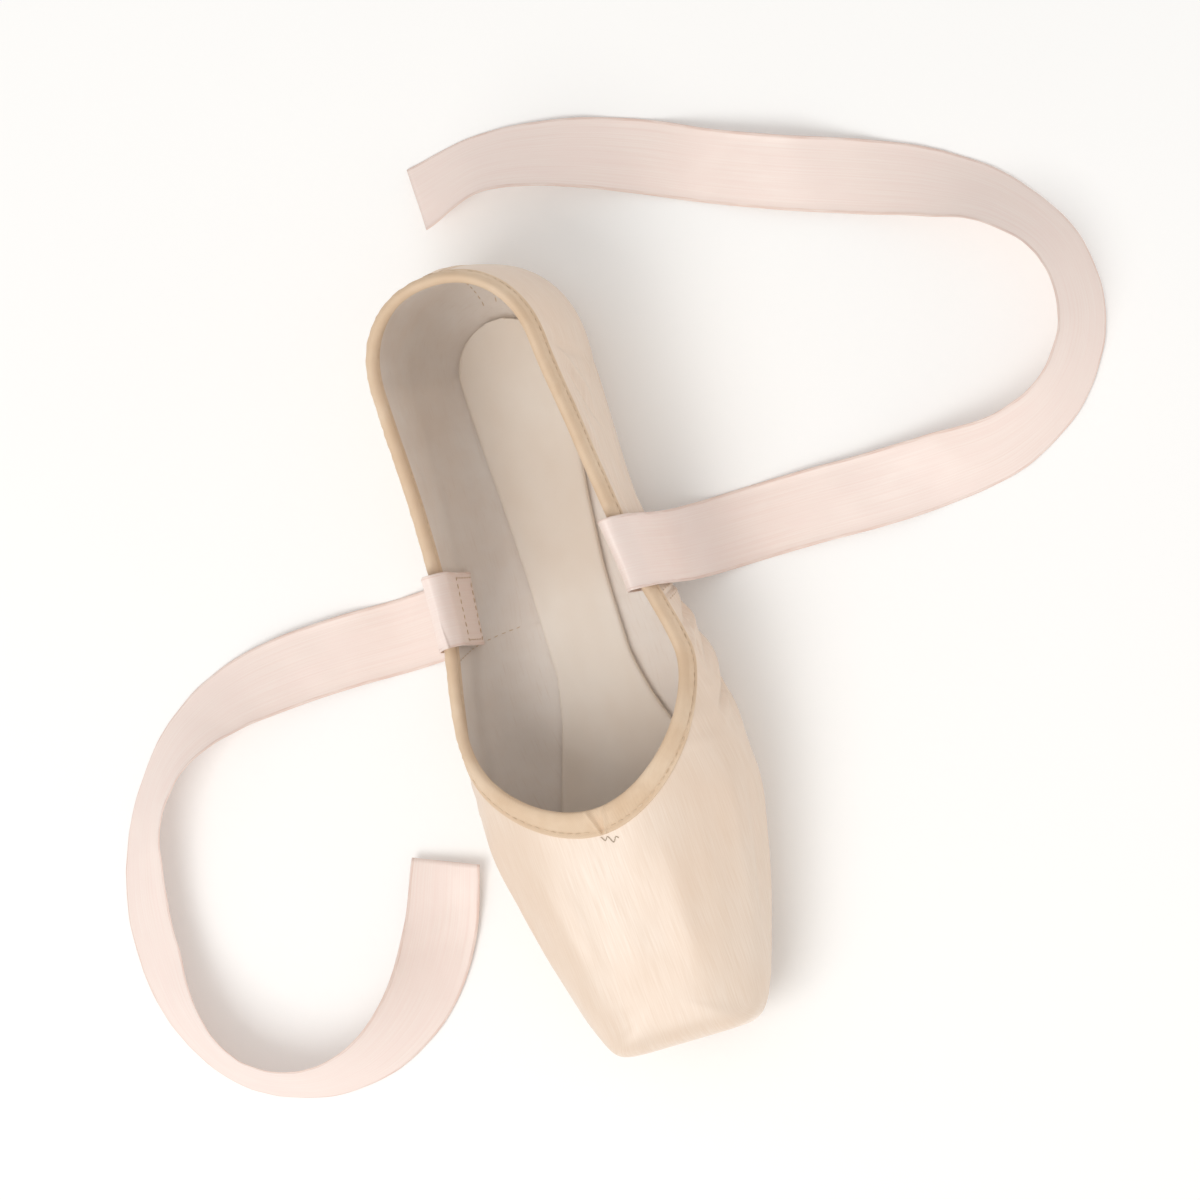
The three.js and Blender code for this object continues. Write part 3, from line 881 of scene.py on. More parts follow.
def make_ribbon(name, route, node):
    path = RibbonPath(route)
    half_width = RIBBON_WIDTH / 2
    offset = np.array(RIBBON_SECTION) - half_width
    in_selvedge = smoothstep(half_width - 1.15, half_width - 0.9, np.abs(offset))
    thickness = RIBBON_PLY + SELVEDGE_PLY * in_selvedge
    thickness[[0, -1]] = RIBBON_END_PLY
    along = path.along[:, None]
    on_floor = smoothstep(60, 110, along)
    ripple = 0.10 * wander(along + 0.5 * offset, pitch=17)
    ripple = ripple + 0.06 * wander(along - offset, pitch=9, phase=1.0)
    edge_frill = 0.10 * wander(along, pitch=23, phase=2.0) * (offset / half_width) ** 2
    lifted = (ripple + edge_frill) * mix(STRETCHED, 1.0, on_floor)
    top = path.centre[:, None] + offset[None, :, None] * path.across[:, None]
    top = top + lifted[..., None] * path.out[:, None]
    half_ply = thickness[None, :, None] * path.out[:, None]
    rows = np.concatenate([(top + half_ply)[:, ::-1], top - half_ply], axis=1)
    rows[..., 2] = np.maximum(rows[..., 2], LOWEST_CLOTH)
    points, faces = capped(rows)
    width = len(offset)
    column = np.tile(np.concatenate([offset[::-1], offset + BACK_FACE_WEAVE]), len(path.along))
    distance = np.repeat(path.along, 2 * width)

    def weave(corner, owner):
        return np.column_stack([column[corner], distance[corner]])

    # the strips over a selvedge, and the ribbon's thin edges
    strip = np.arange(2 * width) % width
    selvedge = (strip < 2) | (strip >= width - 3)
    material_of = np.append(np.tile(selvedge.astype(int), len(path.along) - 1), [0, 0])
    ribbon = make_piece(name, points, faces, [RIBBON, SELVEDGE], material_of, weave)
    finished(ribbon, "ribbon", node)
    return path


RIGHT_PATH = make_ribbon("right_ribbon", RIBBON_RIGHT, "ribbon_right")
LEFT_PATH = make_ribbon("left_ribbon", RIBBON_LEFT, "ribbon_left")

# Upper --------------------------------------------------------------------------------------------

HEEL_ROWS, SIDE_ROWS, SEAM_ROWS, FRONT_ROWS, THROAT_ROWS = 30, 60, 26, 18, 60
VAMP_ROWS, BOX_CORNER_ROWS, PLATFORM_ROWS = 42, 20, 44
DOME_COLUMNS, BELLY_COLUMNS, MARGIN_COLUMNS = 34, 26, 3
OUTER, MARGIN, INNER = 0, 1, 2


def toe_turns():
    """Turns of the toe's ribs: evenly down the sides of the box, then evenly across the platform."""
    corner = 0.5 ** (1 / TOE_PLAN)
    side = np.arcsin(steps(0, corner, BOX_CORNER_ROWS) ** (TOE_PLAN / 2))
    front = np.arccos(steps(corner, 0, PLATFORM_ROWS) ** (TOE_PLAN / 2))
    return np.concatenate([side[1:], front[1:-1], [QUARTER_TURN]])


def upper_ribs():
    """Each rib of the upper with the angle where its satin starts."""
    stops = collar_stops(HEEL_ROWS, SIDE_ROWS, SEAM_ROWS, FRONT_ROWS, THROAT_ROWS)
    open_ribs = [stop.at(TRIM_HEM) for stop in stops]
    vamp = [Rib(float(s)) for s in steps(THROAT + TRIM_HEM, TOE_CENTRE, VAMP_ROWS)[1:]]
    toe = [toe_rib(float(t)) for t in toe_turns()]
    return open_ribs, [(rib, QUARTER_TURN) for rib in [*vamp, *toe]]


def upper_row(rib, angle):
    wall = float(last("wall", rib.s))
    angles = np.concatenate([
        steps(angle, 0, DOME_COLUMNS),
        steps(0, -QUARTER_TURN, BELLY_COLUMNS)[1:],
    ])
    outside = np.vstack([point_on(rib, angles), margin_points(rib, 0, MARGIN_COLUMNS)])
    inside = np.vstack([point_on(rib, angles, wall), margin_points(rib, wall, MARGIN_COLUMNS)])
    return np.vstack([outside, inside[::-1]])


def upper_shell():
    """The plain upper: points, faces, the side each face is on and each point's layer."""
    open_ribs, vamp_ribs = upper_ribs()
    rows = np.array([upper_row(*rib) for rib in [*open_ribs, *vamp_ribs]])
    count, around = rows.shape[:2]
    outside = around // 2
    layer = np.full(around, OUTER)
    layer[outside - MARGIN_COLUMNS:outside] = MARGIN
    layer[outside:] = INNER
    faces = grid_faces(count, around, ring=True).reshape(count - 1, around, 4)
    vamp_start = len(open_ribs) - 1
    kept = np.ones((count - 1, around), bool)
    kept[vamp_start:, around - 1] = False
    right = faces[kept]
    left = right[:, ::-1] + count * around
    layers = np.tile(layer, 2 * count)
    side = np.repeat(SIDES, len(right))
    face_layer = np.tile(np.broadcast_to(layer, (count - 1, around))[kept], 2)
    points, faces, kept, layers = welded(both_halves(rows), np.vstack([right, left]), layers)
    return points, faces, side[kept], face_layer[kept], layers


CREASE_SPANS = 14    # straight bits in a crease's path
SIDE_WALL = 20       # the sides of the upper lie farther than this from its middle plane
MIRROR_SKEW = 1.5    # how far along the shoe the left side's waist folds differ from the right's
BOX_SKEW = 0.8       # and up the side, the box's folds


def path_on(*anchors):
    """A smooth path through a few points of the upper."""
    return through(np.array(anchors), CREASE_SPANS // (len(anchors) - 1))


def away_from(points, path):
    """Each point's distance to a path and how far along the path, 0 to 1, its nearest place is."""
    best = np.full(len(points), 1e9)
    share = np.zeros(len(points))
    hops = np.diff(path, axis=0)
    lengths = np.linalg.norm(hops, axis=1)
    starts = np.concatenate([[0], np.cumsum(lengths)])
    for start, hop, length, gone in zip(path, hops, lengths, starts):
        t = np.clip((points - start) @ hop / length ** 2, 0, 1)
        distance = np.linalg.norm(points - start - t[:, None] * hop, axis=1)
        closer = distance < best
        best[closer] = distance[closer]
        share[closer] = (gone + t[closer] * length) / starts[-1]
    return best, share


def crease(points, path, height, width, fade):
    """A soft ridge, or a trough where height is negative, that fades out over a share of each end."""
    near = (points >= path.min(axis=0) - 3 * width).all(axis=1)
    near &= (points <= path.max(axis=0) + 3 * width).all(axis=1)
    out = np.zeros(len(points))
    if near.any():
        distance, share = away_from(points[near], path)
        ends = smoothstep(0, fade[0], share) * smoothstep(0, fade[1], 1 - share)
        out[near] = height * bump_of(distance, width) * ends
    return out


def waist_folds(side):
    """Folds that spread from the waist's feather edge up and forward over the side of the vamp."""
    rows = [
        # from s, z, by way of s, z, to s, z, height, width
        (105, 9, 113, 21, 121, 35, -1.3, 1.2),
        (107.5, 9, 117, 21, 127, 34, 1.2, 1.3),
        (110, 8, 122, 18, 136, 31, -1.3, 1.2),
        (113, 8, 127, 16, 143, 28, 1.1, 1.5),
        (117, 8, 132, 14, 150, 23, -1.2, 1.3),
        (121, 7, 138, 11, 158, 18, 0.9, 1.6),
        (127, 7, 144, 9, 163, 12, -0.8, 1.5),
        (130, 9, 139, 22, 149, 36, -1.1, 0.9),
        (132, 9, 142, 22, 153, 35, 0.7, 1.3),
        (115, 22, 123, 26.5, 133, 29, -0.9, 1.1),
        (113.5, 24, 121, 28.5, 131, 31, 0.6, 1.2),
        (100, 10, 92, 22, 80, 31, -0.9, 1.5),
        (97, 8, 86, 16, 70, 22, 0.8, 1.7),
        (94, 7, 80, 11, 62, 14, -0.7, 1.6),
        (99, 20, 90, 29, 78, 36, 0.6, 1.5),
    ]
    skew = side * MIRROR_SKEW
    for s0, z0, s1, z1, s2, z2, height, width in rows:
        anchors = [side_point(side, s + skew, z) for s, z in ((s0, z0), (s1, z1), (s2, z2))]
        yield path_on(*anchors), height, width, (0.2, 0.45)


def box_folds(side):
    """Long soft ridges and hollows down the sides of the box, from the collar to the platform."""
    def along(stations, heights):
        return path_on(*[side_point(side, s, z) for s, z in zip(stations, heights)])

    tilt = side * BOX_SKEW
    yield along((150, 175, 200, 219), (34, 32 + tilt, 29, 26)), 0.8, 3.4, (0.35, 0.3)
    yield along((156, 178, 202, 219), (26, 24, 22 + tilt, 20)), -0.75, 2.9, (0.3, 0.3)
    yield along((150, 176, 203, 219), (15, 14 - tilt, 13, 13)), 0.65, 2.8, (0.35, 0.3)
    yield along((164, 182, 200, 214), (9, 8.5, 9, 11)), -0.5, 2.2, (0.35, 0.4)
    yield along((160, 176, 190, 206), (40, 38, 36, 33)), -0.45, 3.0, (0.4, 0.4)


def vamp_folds():
    """Faint drapes down the top of the vamp."""
    rows = [
        # x0, s0, x1, s1, x2, s2, height, width
        (-6, 178, -5, 200, -4, 220, 0.22, 4.0),
        (5, 180, 7, 203, 9, 220, -0.22, 4.0),
        (17, 172, 15, 197, 14, 220, 0.3, 3.4),
        (-18, 172, -16, 197, -14, 220, -0.28, 3.4),
        (26, 166, 22, 190, 18, 214, -0.3, 3.2),
        (-27, 166, -23, 190, -18, 214, 0.3, 3.4),
        (1, 176, 2, 186, 2, 198, -0.2, 2.6),
    ]
    for x0, s0, x1, s1, x2, s2, height, width in rows:
        anchors = [vamp_point(x, s) for x, s in ((x0, s0), (x1, s1), (x2, s2))]
        yield path_on(*anchors), height, width, (0.4, 0.4)


def quarter_folds(side):
    """Slack in the quarter between the heel and the side seam."""
    rows = [
        # from s, z, by way of s, z, to s, z, height, width
        (30, 50, 34, 36, 36, 20, -0.9, 1.3),
        (31, 46, 40, 37, 50, 27, 0.9, 1.6),
        (34, 44, 48, 35, 60, 24, -0.85, 1.5),
        (44, 44, 58, 39, 74, 33, 0.7, 1.8),
        (58, 40, 72, 34, 88, 30, -0.7, 1.7),
        (76, 36, 88, 31, 100, 29, 0.55, 1.6),
        (40, 16, 58, 21, 78, 25, 0.55, 2.2),
        (31, 9, 40, 14, 52, 17, -0.9, 1.3),
        (31, 15, 37, 21, 42, 29, 0.7, 1.3),
        (50, 9, 66, 11, 84, 11, -0.5, 1.7),
    ]
    for s0, z0, s1, z1, s2, z2, height, width in rows:
        anchors = [side_point(side, s, z) for s, z in ((s0, z0), (s1, z1), (s2, z2))]
        yield path_on(*anchors), height, width, (0.35, 0.35)


def seam_station(z):
    """The side seam's station at height z: it leans forward towards the collar."""
    share = np.clip((z - SEAM_LOW) / (SEAM_HIGH - SEAM_LOW), 0, 1)
    return mix(SEAM_AT_SOLE, SEAM_AT_COLLAR, share)


PLEATS = [
    # across, height
    (-12, 0.35),
    (-7.5, 0.4),
    (-3.2, 0.6),
    (0.2, 1.0),
    (3.2, 1.1),
    (6.2, 1.0),
    (9.4, 0.6),
    (13.5, 0.35),
]
PLEAT_FURROW = 1.45    # from a pleat's ridge to the furrow beside it


def pleats_under_toe(x, s, z):
    """Satin gathered under the box, between the outsole's end and the platform: a few deep pleats
    beside the middle and shallower ones to each side."""
    under = smoothstep(213, 218, s) * (1 - smoothstep(11, 15.5, z))
    fan = x * (1 + 0.02 * (s - SOLE_TOE_END))
    return under * sum(
        height * (0.85 * bump_of(fan - at, 0.95) - bump_of(fan - at - PLEAT_FURROW, 0.7))
        for at, height in PLEATS
    )


def puckers_over_feather(x, s, z):
    """Satin drawn in over the feather edge, hardest round the toe and the heel."""
    above_sole = np.maximum(z - underside(s), 0)
    round_toe = 0.8 * np.abs(x) * smoothstep(200, 225, s)
    round_heel = 14 * np.arctan2(np.abs(x), 40 - s) * (s < 20)
    girth = s + round_toe + round_heel
    pucker = wander(girth + 3 * np.sign(x), pitch=5.2) + 0.5 * wander(girth, pitch=3.1, phase=1.3)
    strength = mix(0.16, 0.38, smoothstep(185, 222, s)) + 0.12 * (1 - smoothstep(10, 40, s))
    return strength * pucker * bump_of(above_sole, width=5.5)


def gathers_under_binding(x, s, z):
    below = np.maximum(read(TOPLINE, "height", s) - BINDING_WIDTH - z, 0)
    gather = wander(s + 4 * np.sign(x), pitch=6.5, phase=0.7)
    return 0.16 * gather * bump_of(below, width=6) * (s < THROAT - 8)


def side_seam_relief(s, z):
    """A groove between two padded edges, and the drag of the cloth beside them."""
    off = s - seam_station(z)
    padding = 0.22 * bump_of(np.abs(off) - 1.5, width=1.0)
    groove = 0.34 * bump_of(off, width=0.55)
    drag = 0.12 * wander(z + 0.4 * s, pitch=4.2, phase=0.4) * bump_of(off, width=4.5)
    return padding - groove + drag


def puckers_beside_heel_tape(x, s, z):
    beside = np.abs(x) - HEEL_TAPE_HALF
    drawn = 0.22 * wander(z, pitch=5.0, phase=0.9) * bump_of(beside, width=4.0)
    return drawn * smoothstep(-0.5, 1.5, beside) * (s < 14)


def upper_relief(points):
    """How far each point of the satin stands out of the plain last."""
    x, s, z = points[:, 0], LENGTH / 2 - points[:, 1], points[:, 2]
    side_wall = np.abs(x) > SIDE_WALL
    relief = puckers_over_feather(x, s, z) + puckers_beside_heel_tape(x, s, z)
    relief += side_wall * (gathers_under_binding(x, s, z) + side_seam_relief(s, z))
    relief += pleats_under_toe(x, s, z)
    folds = [*vamp_folds()]
    for side in SIDES:
        folds += [*waist_folds(side), *box_folds(side), *quarter_folds(side)]
    for fold in folds:
        relief += crease(points, *fold)
    return relief


QUARTER_WEAVE = 130       # keeps the quarters' pattern apart from the vamp's
HEEL_WEAVE_RADIUS = 25    # about the heel's own


def cloth_place(points, side):
    """Millimetres across and along the satin's grain at points on one side of the shoe."""
    x, s, z = points[:, 0], LENGTH / 2 - points[:, 1], points[:, 2]
    front = smoothstep(LENGTH - 6, LENGTH - 1.5, s)
    down = last("crown", s) - z
    # below the widest line the cloth turns in towards the sole
    radius = np.where(s < HEEL_CENTRE, np.hypot(x, HEEL_CENTRE - s), np.abs(x))
    below = smoothstep(0, 6, last("widest", s) - z) * (1 - smoothstep(180, 215, s))
    tucked = below * (last("half", np.maximum(s, HEEL_CENTRE)) - radius)
    across_vamp = side * (np.abs(x) + 2 * tucked + down * (1 - front))
    along_vamp = s + down * front
    across_quarter = side * (QUARTER_WEAVE + z - tucked)
    round_heel = HEEL_WEAVE_RADIUS * np.arctan2(28 - np.minimum(s, 28), np.abs(x) + 1)
    quarter = s < seam_station(z)
    return np.column_stack([
        np.where(quarter, across_quarter, across_vamp),
        np.where(quarter, s - round_heel, along_vamp),
    ])


def make_upper():
    points, faces, side, face_layer, layers = upper_shell()
    normals = normals_of(points, faces)
    satin = layers == OUTER
    relief = np.zeros(len(points))
    relief[satin] = upper_relief(points[satin])
    lining = layers == INNER
    _, y, z = points[lining].T
    relief[lining] = 0.12 * wander(y + 0.6 * z, pitch=19) + 0.08 * wander(z, pitch=11, phase=2.0)
    shaped = points + normals * relief[:, None]

    def weave(corner, owner):
        return cloth_place(points[corner], side[owner])

    inside = (face_layer == INNER).astype(int)
    upper = make_piece("upper", shaped, faces, [SATIN, LINING], inside, weave)
    return finished(upper, "satin", "upper")


make_upper()

# Collar binding -----------------------------------------------------------------------------------

BINDING_OUTSIDE = [
    # drop below the top edge, how far proud of the satin
    (2.2, 0.85),
    (3.0, 0.80),
    (3.9, 0.60),
    (4.8, 0.52),
    (5.6, 0.50),
    (6.1, 0.24),
    (6.5, 0.12),
    (6.9, 0.24),
    (7.4, 0.50),
    (7.8, 0.48),
    (8.0, 0.34),
    (8.1, -0.30),
]
STITCH_DROP = 6.5
INSIDE_SHARE = 0.7       # how far the tape stands proud inside, against outside
ROLL_STEPS = 8
ROLL_SPAN = 0.86 * QUARTER_TURN    # the tape's rolled top edge, to each side of its crest
ROLL_CREST = 0.15
ROLL_DEPTH = 1.8
ROLL_PROUD = 0.62
SECTION_STOP = 20        # the stop where the tape's section is measured for its weave
V_OFF_CENTRE = 0.6       # the V where the tape's ends meet
V_RIDGE = 0.75
V_VALLEY = 0.5


def binding_section(stop, ripple):
    """The tape's section at one stop of the collar: up the inside, over the top, down the outside."""
    wall = float(last("wall", stop.at(0)[0].s))

    def at(drop, inset):
        rib, angle = stop.at(drop)
        return point_on(rib, angle, inset)

    proud = [(drop, out + ripple * smoothstep(8, 5, drop)) for drop, out in BINDING_OUTSIDE]
    outside = [at(drop, -out) for drop, out in proud]
    inside = [at(drop, wall + INSIDE_SHARE * out) for drop, out in proud]
    top = []
    for turn in np.linspace(ROLL_SPAN, -ROLL_SPAN, ROLL_STEPS + 1):
        drop = ROLL_CREST + ROLL_DEPTH * (1 - math.cos(turn))
        top.append(at(drop, wall / 2 + (wall / 2 + ROLL_PROUD) * math.sin(turn)))
    return [*inside[::-1], *top, *outside]


def fold_at_throat(x, s):
    """The height added where the tape's two ends meet in a small V at the throat's middle."""
    off = np.abs(x - V_OFF_CENTRE)
    spread = 0.5 + 2.3 * np.clip(1 - (s - THROAT) / BINDING_WIDTH, 0, 1)
    valley = smoothstep(spread + 0.4, spread - 0.5, off)
    throat = smoothstep(THROAT - 1.5, THROAT + 1.5, s)
    return throat * (V_RIDGE * bump_of(off - spread, width=0.75) - V_VALLEY * valley)


def make_binding():
    stops = collar_stops(heel=34, side=52, seam=10, front=8, throat=54, fold=30)
    edge = running_length(np.array([point_on(*stop.at(0)) for stop in stops]))
    ripples = 0.10 * wander(edge, pitch=4.3) + 0.07 * wander(edge, pitch=2.6, phase=1.1)
    rows = np.array([binding_section(stop, ripple) for stop, ripple in zip(stops, ripples)])
    count, around = rows.shape[:2]
    faces = grid_faces(count, around, ring=True)
    faces = np.vstack([faces[:, ::-1], faces + count * around])
    distance = np.tile(np.repeat(running_length(rows[:, around // 2]), around), 2)
    width = np.tile(running_length(rows[SECTION_STOP]), 2 * count)
    points, faces, _, distance, width = welded(both_halves(rows), faces, distance, width)
    points[:, 2] += fold_at_throat(points[:, 0], LENGTH / 2 - points[:, 1])

    def weave(corner, owner):
        return np.column_stack([width[corner], distance[corner]])

    binding = make_piece("collar_binding", points, faces, [BINDING], weave=weave)
    return finished(binding, "binding", "collar_binding")


make_binding()

# Heel tape ----------------------------------------------------------------------------------------


def heel_turn(x):
    """The turn of the heel's rib that meets the widest line x from the middle."""
    half = float(last("half", 2))
    return math.acos(min(abs(x) / half, 1.0) ** (HEEL_PLAN / 2))


TAPE_RIDGES = [
    # across from the middle, how far proud of the satin
    (0, 0.8),
    (0.45, 0.68),
    (0.9, 0.5),
    (1.8, 0.44),
    (2.6, 0.40),
    (3.1, 0.36),
    (3.6, 0.42),
    (3.9, 0.22),
    (4.0, -0.3),
]
TAPE_TUCK = 1.2       # how far the tape's upper end reaches under the binding
TAPE_REACH = 0.97     # how near its lower end comes to the feather edge
TAPE_BACK = 0.6       # the tape's hidden back, this deep in the wall
TAPE_STEPS = 70
TAPE_WEAVE = 300      # keeps the tape's pattern apart from the upper's


def make_heel_tape():
    ridges = [(-across, proud) for across, proud in TAPE_RIDGES[:0:-1]] + TAPE_RIDGES
    columns = [across for across, _ in ridges]
    middle = len(columns) // 2
    rows = []
    for share in steps(0, 1, TAPE_STEPS):
        drag = 0.06 * wander(share * 50, pitch=4.4, phase=0.8)
        outer = []
        inner = []
        for x, proud in ridges:
            rib = heel_rib(heel_turn(x))
            _, start = Stop(rib).at(BINDING_WIDTH - TAPE_TUCK)
            angle = mix(start, -QUARTER_TURN * TAPE_REACH, share)
            mirror = [1 if x >= 0 else -1, 1, 1]
            outer.append(point_on(rib, angle, -proud - drag) * mirror)
            inner.append(point_on(rib, angle, TAPE_BACK) * mirror)
        rows.append([*outer, *inner[::-1]])
    rows = np.array(rows)
    points, faces = capped(rows)
    across = np.tile([*columns, *columns[::-1]], len(rows)) + TAPE_WEAVE
    down = np.repeat(running_length(rows[:, middle]), rows.shape[1])

    def weave(corner, owner):
        return np.column_stack([across[corner], down[corner]])

    tape = make_piece("heel_tape", points, faces, [TAPE_SATIN], weave=weave)
    return finished(tape, "satin")


make_heel_tape()

# Outsole and insole -------------------------------------------------------------------------------

STITCH_INSET = 3.6      # the outsole's stitch line, from its edge
SECOND_INSET = 6.8      # and the second line, round the forepart
SECOND_START = 176
SOLE_OFFSETS = [0, 0.12, 0.35, 0.7, 1.3, 2.2, 2.9, 3.3, 3.6, 3.9, 4.3, 5.2, 6.1, 6.5, 6.8, 7.1, 7.5, 8.8]


def squared_half(half, from_end, corner):
    into = np.clip(from_end, 0, corner)
    return half - corner + np.sqrt(corner ** 2 - (corner - into) ** 2)


def sole_half(s):
    half = read(SOLE, "half", s)
    heel = squared_half(half, s - SOLE_HEEL_END, SOLE_HEEL_CORNER)
    toe = squared_half(half, SOLE_TOE_END - s, SOLE_TOE_CORNER)
    return np.minimum(heel, toe)


def sole_outline(inset=0.0, count=160):
    """The outsole's outline in plan (x, s), closed, moved in by inset."""
    share = 0.5 - 0.5 * np.cos(steps(0, math.pi, count))
    s = mix(SOLE_HEEL_END, SOLE_TOE_END, share)
    half = sole_half(s)
    ring = np.concatenate([
        np.column_stack([half, s]),
        np.column_stack([-half, s])[::-1],
    ])
    if inset == 0:
        return ring
    step = np.roll(ring, -1, axis=0) - np.roll(ring, 1, axis=0)
    inward = unit(np.column_stack([-step[:, 1], step[:, 0]]))
    return ring + inward * inset


def from_edge(x, s, ring):
    """How far points lie from the outline."""
    points = np.column_stack([x, s])
    best = np.full(len(points), 1e9)
    for a, b in zip(ring, np.roll(ring, -1, axis=0)):
        hop = b - a
        t = np.clip((points - a) @ hop / max(hop @ hop, 1e-9), 0, 1)
        best = np.minimum(best, np.linalg.norm(points - a - t[:, None] * hop, axis=1))
    return best


MIDDLE_COLUMNS = 7
UNDER_COLUMNS = 2 * len(SOLE_OFFSETS) + MIDDLE_COLUMNS
CHANNEL_DEPTH = 0.45    # the channel each row of stitches lies in
CHANNEL_WIDTH = 0.34


def sole_row(s):
    """The outsole's section at a station: the underside from right to left, then the top back."""
    half = max(float(sole_half(s)), 1.0)
    count = len(SOLE_OFFSETS)
    shares = half * (0.5 + 0.5 * np.arange(count) / count)
    offsets = np.minimum(SOLE_OFFSETS, shares)
    right = half - np.minimum(offsets, half * 0.96)
    middle = np.linspace(right[-1], -right[-1], MIDDLE_COLUMNS + 2)[1:-1]
    top = np.linspace(-right[3], right[3], MIDDLE_COLUMNS)
    across = np.concatenate([right, middle, -right[::-1], -right[:2], top, right[:2][::-1]])
    up = np.where(np.arange(len(across)) < UNDER_COLUMNS, 0, SOLE_THICKNESS)
    return np.column_stack([across, np.full(len(across), s), float(lift(s)) + up])


def make_outsole():
    ends = np.array(SOLE_OFFSETS)
    stations = np.concatenate([
        SOLE_HEEL_END + ends,
        np.linspace(SOLE_HEEL_END + 10, SOLE_TOE_END - 10, 110),
        (SOLE_TOE_END - ends)[::-1],
    ])
    rows = np.array([sole_row(s) for s in stations])
    count, around = rows.shape[:2]
    column = np.arange(around)
    x, s, z = rows.reshape(-1, 3).T
    inside = from_edge(x, s, sole_outline())
    to_edge = 1 - np.minimum(inside / SOLE_BEVEL, 1)
    rounding = SOLE_BEVEL * (1 - np.sqrt(np.clip(1 - to_edge ** 2, 0, 1)))
    forepart = smoothstep(SECOND_START - 3, SECOND_START, s)
    first_row = bump_of(inside - STITCH_INSET, CHANNEL_WIDTH)
    second_row = bump_of(inside - SECOND_INSET, CHANNEL_WIDTH) * forepart
    carved = rounding + CHANNEL_DEPTH * (first_row + second_row)
    under = np.tile(column < UNDER_COLUMNS, count)
    points = place(x, s, z + np.where(under, carved, 0))
    points, faces = capped(points.reshape(count, around, 3))
    last_under = UNDER_COLUMNS - 1
    edge_columns = [0, 1, last_under - 1, last_under, last_under + 1, around - 1]
    strip = np.isin(column, edge_columns).astype(int)
    material_of = np.append(np.tile(strip, count - 1), [1, 1])
    sole = make_piece("outsole", points, faces, [LEATHER, LEATHER_EDGE], material_of)
    return finished(sole, "outsole_leather", "outsole")


INSOLE_COLUMNS = [1, 0.985, 0.95, 0.88, 0.75, 0.5, 0.25, 0]    # shares of the half width
INSOLE_ROUND = 0.93    # outside this share the top edge is rounded


def make_insole():
    heel_reach = HEEL_CENTRE - float(last("half", HEEL_CENTRE) - foot_half(HEEL_CENTRE))
    heel_end = HEEL_CENTRE - heel_reach + INSOLE_END_ROOM
    toe_end = LENGTH - TOE_TUCK - INSOLE_END_ROOM
    stations = np.concatenate([
        mix(HEEL_CENTRE, heel_end, np.sin(steps(QUARTER_TURN, 0, 14))),
        np.linspace(HEEL_CENTRE, toe_end, 90)[1:],
    ])
    across = np.array(INSOLE_COLUMNS + [-share for share in INSOLE_COLUMNS[-2::-1]])
    beyond = np.clip((np.abs(across) - INSOLE_ROUND) / (1 - INSOLE_ROUND), 0, 1)
    rounded = 0.8 * (1 - np.sqrt(np.clip(1 - beyond ** 2, 0, 1)))
    rows = []
    for s in stations:
        behind = float(np.clip((HEEL_CENTRE - s) / (HEEL_CENTRE - heel_end), 0, 1))
        half = float(foot_half(max(s, HEEL_CENTRE))) * max(math.sqrt(1 - behind ** 2), 0.2)
        low = float(underside(s) + last("wall", s)) + SOLE_GAP
        dip = 0.21 * (1 - across ** 2) * smoothstep(0, 20, s - heel_end)
        top = low + INSOLE_THICKNESS - rounded - dip
        upper_edge = place(half * across, s, top)
        lower_edge = place(half * across[::-1], s, low)
        rows.append(np.vstack([upper_edge, lower_edge]))
    points, faces = capped(np.array(rows))
    board = make_piece("insole", points, faces, [INSOLE])
    return finished(board, "lining", "insole")


make_outsole()
make_insole()

# Stitches -----------------------------------------------------------------------------------------


